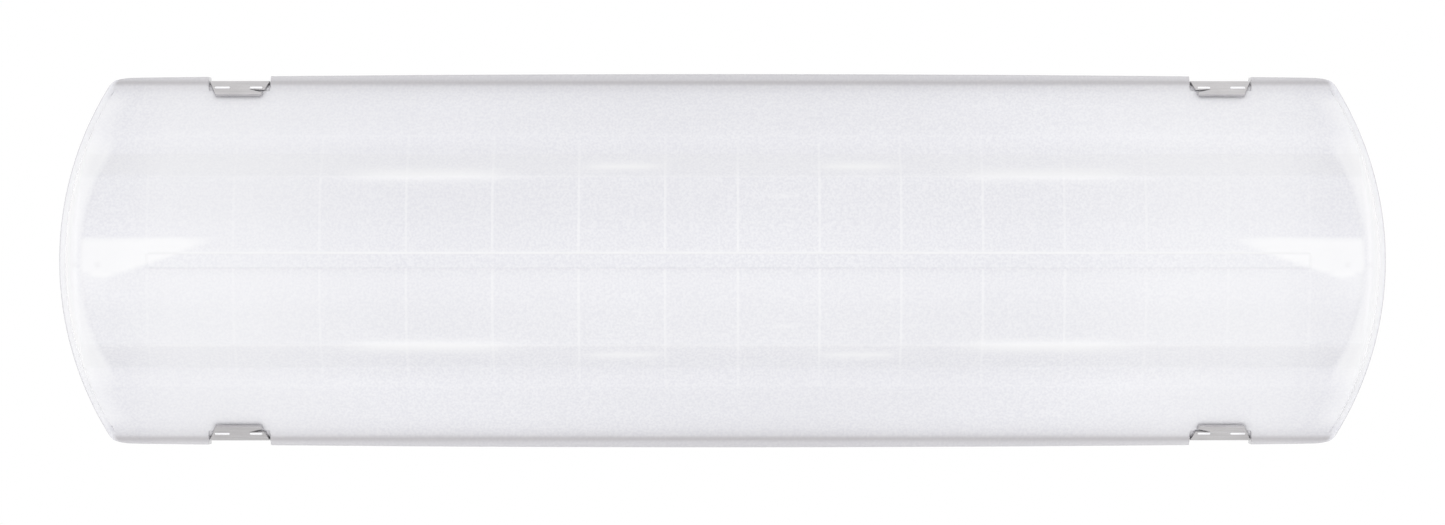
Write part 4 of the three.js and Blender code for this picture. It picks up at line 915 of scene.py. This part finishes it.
def board(name, node):
    """A board with its light chips, solder pads, printed lines and two plugs."""
    (x0, x1), (y0, y1), _ = span_of(node)
    y, top = middle_of(node)[1], BOARD_TOP
    shape = Shape().box((x0, y0, BOARD_LOW), (x1, y1, top), BOARD)
    for x in np.linspace(x0 + CHIP_MARGIN, x1 - CHIP_MARGIN, CHIP_COUNT):
        at = (x, y, top)
        shape.block((x, y), PAD_HALVES, (top - 0.3, top + 0.08), TIN)
        case = [(-0.3, CHIP_RADIUS), (0.7, CHIP_RADIUS)]
        shape.turned(case, "z", at, 4, PLASTIC, phase=QUARTER / 2)
        shape.turned([(0.4, 1.26), (0.71, 1.2), (0.8, 0.9)], "z", at, 20, PHOSPHOR)
    middle, half = (x0 + x1) / 2, (x1 - x0) / 2
    for line_y in (y - TRACK_AWAY, y + TRACK_AWAY):
        halves = (half - TRACK_MARGIN, 0.4)
        shape.block((middle, line_y), halves, (top - 0.3, top + 0.03), TRACK)
    for x, way in ((x0, 1), (x1, -1)):
        shape.block((x + way * 4, y), PLUG_HALVES, (top - 0.1, top + 3.9), PLASTIC)
        for port_y in (y - PORT_AWAY, y + PORT_AWAY):
            shape.block((x + way * 4.5, port_y), PORT_HALVES, (top + 3.5, top + 4), TIN)
    build(name, shape, "board_white", node, bevel=0.12, looks=BOARD_LOOKS)


def bridge(name, node):
    """A plug that joins two boards of a row, with four contacts on its top."""
    (x0, x1), (y0, y1), (z0, z1) = span_of(node)
    shape = Shape().box((x0, y0, z0), (x1, y1, z1 - 0.3), PLASTIC)
    for x in (x0 + 4, x1 - 4):
        for y in ((y0 + y1) / 2 - PORT_AWAY, (y0 + y1) / 2 + PORT_AWAY):
            shape.turned([(-0.9, 1.1), (0, 1.1)], "z", (x, y, z1), 16, TIN)
    build(name, shape, "plug_white", node, bevel=0.25, looks=BOARD_LOOKS)


def boards():
    for node in sorted(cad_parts):
        if node.startswith("led_board"):
            board(node.replace("led_board", "strip_board"), node)
        elif node.startswith("board_link"):
            bridge(node.replace("board_link", "bridge"), node)


def driver(ear=9):
    """A driver's case with vents, a seam and wire ports, on a plate with an ear at each end."""
    (x0, x1), (_, half), (z0, _) = span_of("led_driver")
    x0, x1, top = x0 + ear, x1 - ear, DRIVER_TOP
    shape = Shape().box((x0, -half, z0 + 0.6), (x1, half, top))
    shape.box((x0 + 5, -half + 4, z0), (x1 - 5, half - 4, z0 + 1))
    for low, high in ((x0 - ear, x0 + 1), (x1 - 1, x1 + ear)):
        shape.box((low, -half + 1.5, top - DRIVER_EAR), (high, half - 1.5, top))
    cuts = [
        Shape().block((x + 0.8, y), (0.8, 0.8), (z0 + 3, top - 5))
        for x in np.arange(x0 + 8, x1 - 8, 4)
        for y in (-half, half)
    ]
    middle, reach = (x0 + x1) / 2, (x1 - x0) / 2 + 1
    for y in (-half, half):
        cuts.append(Shape().block((middle, y), (reach, 0.35), (top - 4, top - 3.4)))
    for x in (x0, x1):
        cuts += [rod("x", x - 2, x + 2, 1.6, (0, y, top - 12), 20) for y in (-5, 0, 5)]
    cuts += [rod("z", top - 6, top + 3, 2.1, (x, 0, 0)) for x in (x0 - ear / 2, x1 + ear / 2)]
    build("gear_driver", shape, "driver_white", "led_driver", cuts=cuts, bevel=0.3)


def terminal(step=5, pitch=9):
    """A terminal block with three poles, each with a wire hole at both sides and a clamp screw."""
    (x0, x1), (_, half), (z0, z1) = span_of("terminal_block")
    shape = Shape().box((x0, -half, z0), (x1 - step, half, z1))
    shape.box((x1 - step - 1, -half, z0), (x1, half, z1 - step))
    middle, poles = (x0 + x1 - step) / 2, (-pitch, 0, pitch)
    funnel = ((0.5, 2.6), (-1, 1.7), (-5, 1.6))
    cuts = []
    for y in poles:
        cuts.append(rod("z", z1 - 4, z1 + 1, 2.3, (middle, y, 0)))
        for side, face in ((1, x1), (-1, x0)):
            profile = [(face + side * out, radius) for out, radius in funnel[::-side]]
            cuts.append(Shape().turned(profile, "x", (0, y, z0 + 7), 24))
    for y in (-pitch / 2, pitch / 2):
        cuts.append(Shape().box((x0 - 1, y - 0.4, z1 - 3), (x1 + 1, y + 0.4, z1 + 1)))
    build("terminal_body", shape, "plug_white", "terminal_block", cuts=cuts, bevel=0.25)
    for index, y in enumerate(poles, 1):
        screw(f"clamp_screw_{index}", (middle, y), z1 - 3.4, CLAMP_SCREW)


# Gasket and grommet


def ring_lines():
    """Columns and rows whose border follows an outline closely at the ends and corners."""
    near = np.arange(0, 12, 0.5)
    along = [*np.arange(0, STRAIGHT_X, 8), *np.linspace(STRAIGHT_X, HALF_LENGTH - 12, 12)]
    across = [*np.arange(0, STRAIGHT_Y, 5), STRAIGHT_Y, HALF_WIDTH - 14.7]
    along, across = along + [*(HALF_LENGTH - near)], across + [*(HALF_WIDTH - near)]
    return mirrored(spread(along)), mirrored(spread(across))


def outline_ring(section):
    """A closed section of (inset, height) carried round the fixture's outline."""
    columns, rows = ring_lines()
    loop = border(len(columns), len(rows))
    rings = []
    for inset, height in section:
        x, y = fitted(Outline(inset), columns, rows, notched=False)
        rings.append(joined(x, y, np.full_like(x, height))[loop])
    faces, around = [], np.arange(len(loop))
    for index in range(len(rings)):
        after = (index + 1) % len(rings)
        faces += strip_faces(index * len(loop) + around, after * len(loop) + around).tolist()
    return Shape().add(np.concatenate(rings), faces)


def gasket():
    outer, inner, low = GASKET_OUTER, GASKET_INNER, GASKET_LOW
    middle, half, spring = (outer + inner) / 2, (inner - outer) / 2, GASKET_HIGH - GASKET_CROWN
    section = [
        (middle + half * math.cos(a), spring + GASKET_CROWN * math.sin(a))
        for a in np.linspace(0, math.pi, 9)
    ]
    section += [(outer, low + 0.3), (outer + 0.3, low), (inner - 0.3, low), (inner, low + 0.3)]
    build("rim_gasket", outline_ring(section), "rubber_black", "gasket")


def grommet():
    (x0, x1), _, (z0, z1) = span_of("tray_grommet")
    lip = (x1 - x0) / 2
    low = [(0, 4.9), (0, lip - 0.5), (0.4, lip), (1.1, lip), (1.5, lip - 0.4), (1.5, 6.5)]
    high = [(1.5, 6.5), (1.5, lip - 0.4), (1.1, lip), (0.5, lip), (0, lip - 0.6), (0, 4.9)]
    profile = [(z0 + up, radius) for up, radius in low]
    profile += [(z1 - down, radius) for down, radius in high + [(0.3, 4.6)]] + [(z0 + 0.3, 4.6)]
    shape = Shape().turned(profile, "z", (middle_of("tray_grommet")[0], 0, 0), closed=True)
    build("lead_grommet", shape, "rubber_black", "tray_grommet")


# Cable entries


def entry(side, *parts):
    """Parts of (profile, sides, closed) turned along the left or right cable entry."""
    made = Shape()
    for profile, sides, closed in parts:
        placed = [(side * (ENTRY_FACE + along), radius) for along, radius in profile]
        made.turned(placed, "x", (0, 0, ENTRY_HEIGHT), sides, closed=closed)
    return made


def cap():
    """The gland's clamp nut, with flutes round its outside."""
    angle = 2 * math.pi * np.arange(CAP_SIDES) / CAP_SIDES
    flute = np.clip(np.cos(CAP_FLUTES * angle) * 1.6 - 0.6, 0, 1) ** 0.7 * CAP_FLUTE_DEPTH
    nut = entry(-1, (CAP_OUTSIDE + CAP_INSIDE, CAP_SIDES, True))
    points = np.array(nut.points).reshape(-1, CAP_SIDES, 3)
    for ring, (along, radius) in zip(points, CAP_OUTSIDE):
        share = np.interp(CAP_FAR - along, (1.5, 5), (0, 1))
        share *= np.interp(along - CAP_NEAR, (0, 0.6), (0.5, 1))
        spoke = ring[:, 1:] - (0, ENTRY_HEIGHT)
        ring[:, 1:] = (0, ENTRY_HEIGHT) + spoke * (1 - share * flute / radius)[:, None]
    nut.points = points.reshape(-1, 3).tolist()
    return nut


def entries():
    """The gland in the left entry and the blanking plug in the right one."""
    tube = entry(-1, (TUBE, 48, True), (TUBE_HEXAGON, 6, True))
    small = {"smooth": SMOOTH_SMALL, "bevel": 0.2}
    build("gland_tube", tube, "gland_plastic", "gland_body", **small)
    build("gland_cap", cap(), "gland_plastic", "gland_nut", smooth=SMOOTH_ROUND)
    build("gland_ring", entry(-1, (CLAMP_SEAL, 40, True)), "rubber_black", "gland_seal")
    for side, name in ENTRY_SIDES:
        ring = entry(side, (WASHER, 48, True))
        build(f"{name}_seal_ring", ring, "rubber_black", f"{name}_washer")
    for side, name in ENTRY_SIDES:
        nut, bore = entry(side, (LOCKNUT, 6, False)), entry(side, (LOCKNUT_BORE, 48, False))
        node = f"{name}_locknut"
        build(f"{name}_nut_inside", nut, "gland_plastic", node, cuts=[bore], **small)
    low, high = (ENTRY_FACE + along for along in PLUG_SLOT)
    slot = Shape().box((low, -16, ENTRY_HEIGHT - 1), (high, 16, ENTRY_HEIGHT + 1))
    plug = entry(1, (PLUG, 56, False))
    build("entry_plug", plug, "gland_plastic", "blanking_plug", cuts=[slot], bevel=0.2)


# Mounting clips


def clip(end):
    """A clip with folded legs and a round-ended slot for its wall screw."""
    node = f"mounting_clip_{end}"
    place, (_, reach) = middle_of(node)[0], span_of(node)[1]
    half, span = CLIP_SHEET / 2, reach - 2
    upper = [(reach, CLIP_LEG), (span - half, CLIP_LEG), (span - half, half)]
    line = bent(upper + [(-y, z) for y, z in upper[::-1]], CLIP_BEND)
    shape = strip(line, [CLIP_HALF_WIDTH] * len(line), CLIP_SHEET, place)
    slot = []
    for way in (1, -1):
        for turn in np.linspace(-QUARTER, QUARTER, 13):
            along = CLIP_SLOT_HALF + CLIP_SLOT_RADIUS * math.cos(turn)
            slot.append((place + way * along, way * CLIP_SLOT_RADIUS * math.sin(turn)))
    cuts = [prism(slot, -3, 3)]
    build(f"wall_clip_{end}", shape, "latch_steel", node, cuts=cuts, bevel=0.25)


# Finishes


class Tree:
    """The nodes of a material or world, with short calls to make and link them."""

    def __init__(self, tree):
        self.nodes, self.links = tree.nodes, tree.links

    def feed(self, socket, value):
        if isinstance(value, bpy.types.NodeSocket):
            self.links.new(value, socket)
        else:
            socket.default_value = value

    def node(self, kind, settings=(), **inputs):
        made = self.nodes.new("ShaderNode" + kind)
        for key, value in settings:
            setattr(made, key, value)
        for key, value in inputs.items():
            self.feed(made.inputs[key.replace("_", " ")], value)
        return made

    def ramp(self, value, low, high, out_low=0.0, out_high=1.0):
        made = self.node("MapRange", Value=value, From_Min=low, From_Max=high)
        self.feed(made.inputs["To Min"], out_low)
        self.feed(made.inputs["To Max"], out_high)
        return made.outputs["Result"]

    def math(self, operation, first, second):
        made = self.node("Math", [("operation", operation)])
        self.feed(made.inputs[0], first)
        self.feed(made.inputs[1], second)
        return made.outputs[0]


class Finish(Tree):
    """A material with a Principled shader, whose inputs are set by name."""

    def __init__(self, name, **values):
        self.material = bpy.data.materials.new(name)
        self.material.use_nodes = True
        super().__init__(self.material.node_tree)
        self.shader = self.nodes["Principled BSDF"]
        self.set(**values)

    def set(self, **values):
        for key, value in values.items():
            self.feed(self.shader.inputs[key.replace("_", " ")], value)

    def noise(self, scale, detail, stretch=(1, 1, 1)):
        place = self.node("TexCoord").outputs["Object"]
        place = self.node("Mapping", Vector=place, Scale=stretch).outputs["Vector"]
        return self.node("TexNoise", Vector=place, Scale=scale, Detail=detail).outputs["Fac"]

    def mixed(self, share, first, second):
        made = self.node("Mix", [("data_type", "RGBA")])
        for socket, value in ((0, share), (6, first), (7, second)):
            self.feed(made.inputs[socket], value)
        return made.outputs[2]

    def attribute(self, name):
        return self.node("Attribute", [("attribute_name", name)]).outputs["Fac"]

    def bump(self, height, strength, distance, edge):
        """Fine relief of some millimetres, on edges that look rounded."""
        rounded = self.node("Bevel", [("samples", 4)], Radius=edge * MM).outputs[0]
        made = self.node("Bump", Height=height, Strength=strength, Distance=distance * MM)
        self.links.new(rounded, made.inputs["Normal"])
        self.set(Normal=made.outputs[0])


def colour(red, green, blue, shift=0):
    """An sRGB colour of 0 to 255, lighter by a shift, as the linear values that a shader takes."""
    def linear(c):
        c = max(c + shift, 0) / 255
        return c / 12.92 if c <= 0.04045 else ((c + 0.055) / 1.055) ** 2.4
    return (*map(linear, (red, green, blue)), 1)


def lens_finish():
    f = Finish("frosted_lens", Roughness=0.18, Subsurface_Weight=0.2)
    f.set(Subsurface_Radius=(1, 1, 1), Subsurface_Scale=2.5 * MM)
    cloud, grain = f.noise(6, 4), f.noise(850, 2)
    field = f.mixed(f.ramp(cloud, 0.35, 0.65), colour(237, 237, 241), colour(241, 241, 245))
    field = f.mixed(f.ramp(grain, 0.35, 0.65, 0, 0.6), field, colour(224, 224, 231))
    # Pale rib lines with painted highlights, then painted light, then painted shade with the gate
    # marks
    lines = f.math("MULTIPLY", f.attribute("lines"), 0.8)
    field = f.mixed(lines, field, colour(250, 250, 252))
    field = f.mixed(f.attribute("pale"), field, colour(249, 249, 251))
    f.set(Base_Color=f.mixed(f.attribute("shade"), field, colour(168, 164, 166)))
    f.bump(grain, 0.12, 0.1, 0.5)
    return f.material


def mottled(f, tone, cloud, cloud_shift, grain, grain_shift, share):
    """A tone with clouds of it and a share of grain, each lighter or darker by a shift."""
    body = f.mixed(f.ramp(cloud, 0.3, 0.7), colour(*tone), colour(*tone, cloud_shift))
    return f.mixed(f.ramp(grain, 0.35, 0.65, 0, share), body, colour(*tone, grain_shift))


def housing_finish(tone=(182, 185, 188)):
    f = Finish("housing_grey")
    cloud, grain = f.noise(9, 5), f.noise(1400, 3)
    rough = f.ramp(cloud, 0.3, 0.7, 0.45, 0.58)
    f.set(Base_Color=mottled(f, tone, cloud, 8, grain, -10, 0.3), Roughness=rough)
    f.bump(grain, 0.25, 0.08, 0.5)
    return f.material


def steel_finish(name, tone=(212, 210, 211), stretch=(40, 1400, 1400), worn=False):
    f = Finish(name, Metallic=1.0)
    brushed, cloud = f.noise(1, 3, stretch), f.noise(60, 3)
    body = f.mixed(f.ramp(cloud, 0.3, 0.7), colour(*tone), colour(*tone, -14))
    body = f.mixed(f.ramp(brushed, 0.3, 0.7, 0, 0.4), body, colour(*tone, -34))
    # Painted highlight on the tops of the latch ridges
    if worn:
        body = f.mixed(f.attribute("worn"), body, colour(240, 240, 242))
    f.set(Base_Color=body, Roughness=f.ramp(brushed, 0.3, 0.7, 0.24, 0.4))
    f.bump(brushed, 0.15, 0.03, 0.2)
    return f.material


def plain_finish(name, tone, roughness, grain_scale=900):
    f = Finish(name)
    cloud, grain = f.noise(40, 4), f.noise(grain_scale, 3)
    rough = f.ramp(cloud, 0.3, 0.7, roughness - 0.06, roughness + 0.08)
    f.set(Base_Color=mottled(f, tone, cloud, -12, grain, -26, 0.35), Roughness=rough)
    f.bump(grain, 0.25, 0.05, 0.25)
    return f.material


# Camera, light and floor

CAMERA_BACK = 2.0
CAMERA_DROP = 0.9 * MM
PHOTO_WIDTH = 1445
PHOTO_SCALE = 0.5 * MM
SENSOR = 36
WORLD_STRENGTH = 0.8
FLOOR_HALF = 6
FLOOR_DROP = 1


def camera():
    data = bpy.data.cameras.new("camera")
    data.sensor_width = SENSOR
    data.lens = SENSOR * CAMERA_BACK / (PHOTO_WIDTH * PHOTO_SCALE)
    thing = linked("camera", data)
    thing.location = (0, -FLANGE_TOP * MM - CAMERA_BACK, -CAMERA_DROP)
    thing.rotation_euler = (QUARTER, 0, 0)
    bpy.context.scene.camera = thing


def world_light():
    """A white world that gives the object a little less light than the camera sees."""
    world = bpy.data.worlds.new("studio")
    bpy.context.scene.world = world
    world.use_nodes = True
    tree = Tree(world.node_tree)
    rays = tree.node("LightPath").outputs
    clear = tree.math("MAXIMUM", rays["Is Glossy Ray"], rays["Is Transmission Ray"])
    seen = tree.math("MAXIMUM", rays["Is Camera Ray"], clear)
    background = tree.nodes["Background"]
    background.inputs["Color"].default_value = (1, 1, 1, 1)
    tree.feed(background.inputs["Strength"], tree.ramp(seen, 0, 1, WORLD_STRENGTH, 1))


def area_lamp(name, place, aim, width, height, power):
    light = bpy.data.lights.new(name, "AREA")
    light.shape = "RECTANGLE"
    light.size, light.size_y, light.energy = width, height, power
    lamp = linked(name, light)
    lamp.location = place
    lamp.rotation_mode = "QUATERNION"
    lamp.rotation_quaternion = (Vector(aim) - Vector(place)).to_track_quat("-Z", "Y")


def lamps():
    """A broad front light, soft lights at the ends and narrow ones that streak the shoulders."""
    area_lamp("front", (-0.1, -2.2, -0.05), (0, -0.05, 0), 2.2, 1.2, 4.0)
    for x in (-1, 1):
        aim = (0.3 * x, -0.06, 0)
        area_lamp("side", (x, -0.5, 0), aim, 0.5, 0.8, 0.85)
        area_lamp("end", (1.3 * x, -0.25, 0), aim, 0.4, 0.8, 0.35)
    for z, power in ((-1, 0.45), (1, 0.4)):
        area_lamp("line", (0, -0.75, 0.75 * z), (0, -0.06, 0.04 * z), 1.6, 0.1, power)
        for x in (-0.22, 0.25):
            aim = (x / 1.5, -0.08, 0.04 * z)
            area_lamp("streak", (x, -0.6, 0.87 * z), aim, 0.12, 0.5, 0.16)


def floor():
    """A pale floor that glows to white for the camera, more so far from the object."""
    reach, low = FLOOR_HALF, cad_low.z - FLOOR_DROP
    corners = [(x * reach, y * reach, low) for x, y in ((-1, -1), (1, -1), (1, 1), (-1, 1))]
    mesh = bpy.data.meshes.new("floor")
    mesh.from_pydata(corners, [], [(0, 1, 2, 3)])
    thing = linked("floor", mesh)
    f = Finish("floor", Roughness=0.9, Base_Color=(0.95, 0.95, 0.95, 1))
    rays = f.node("LightPath").outputs
    seen = f.math("MAXIMUM", rays["Is Camera Ray"], rays["Is Glossy Ray"])
    glow = f.node("Emission", Color=(1, 1, 1, 1), Strength=1.0)
    away = f.node("VectorMath", [("operation", "LENGTH")])
    f.feed(away.inputs[0], f.node("TexCoord").outputs["Object"])
    share = f.math("MULTIPLY", seen, f.ramp(away.outputs["Value"], 0.5, 1.6, 0.72, 1))
    blend = f.node("MixShader")
    for index, value in enumerate((share, f.shader.outputs[0], glow.outputs[0])):
        f.feed(blend.inputs[index], value)
    f.feed(f.nodes["Material Output"].inputs["Surface"], blend.outputs[0])
    mesh.materials.append(f.material)


camera()
world_light()
lamps()
floor()
bpy.context.scene.view_settings.view_transform = "Standard"

PLAIN_FINISHES = {
    "rubber_black": ((46, 47, 49), 0.8),
    "tray_white": ((240, 240, 238), 0.42, 500),
    "board_white": ((240, 240, 232), 0.38),
    "plug_white": ((228, 226, 218), 0.45),
    "driver_white": ((226, 226, 222), 0.5),
    "gland_plastic": ((64, 66, 70), 0.5),
    "lead_brown": ((106, 62, 38), 0.45),
    "lead_blue": ((48, 92, 160), 0.45),
    "lead_green": ((110, 150, 56), 0.45),
    "lead_red": ((176, 44, 36), 0.45),
    "lead_black": ((42, 42, 44), 0.45),
    "phosphor": ((246, 214, 96), 0.35),
    "copper_track": ((226, 226, 214), 0.35),
}
finishes = {name: plain_finish(name, *values) for name, values in PLAIN_FINISHES.items()}
finishes["lens_frosted"] = lens_finish()
finishes["housing_grey"] = housing_finish()
finishes["latch_steel"] = steel_finish("latch_steel")
finishes["latch_sheet"] = steel_finish("latch_sheet", worn=True)
finishes["screw_steel"] = steel_finish("screw_steel", (188, 188, 190), (900, 900, 900))
finishes["tin"] = steel_finish("tin", (214, 214, 212), (300, 300, 300))

lens()
for end in LATCHES:
    for row, side in SIDES:
        latch(row, side, end)
        pin(row, side, end)
for make in (screws, tray, boards, driver, terminal, gasket, grommet, entries):
    make()
for end in LATCHES:
    clip(end)

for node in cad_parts.values():
    look = finishes[node.data.materials[0].name]
    node.data.materials.clear()
    node.data.materials.append(look)
    node.data.shade_smooth()
    node.data.set_sharp_from_angle(angle=math.radians(SMOOTH_CAD))
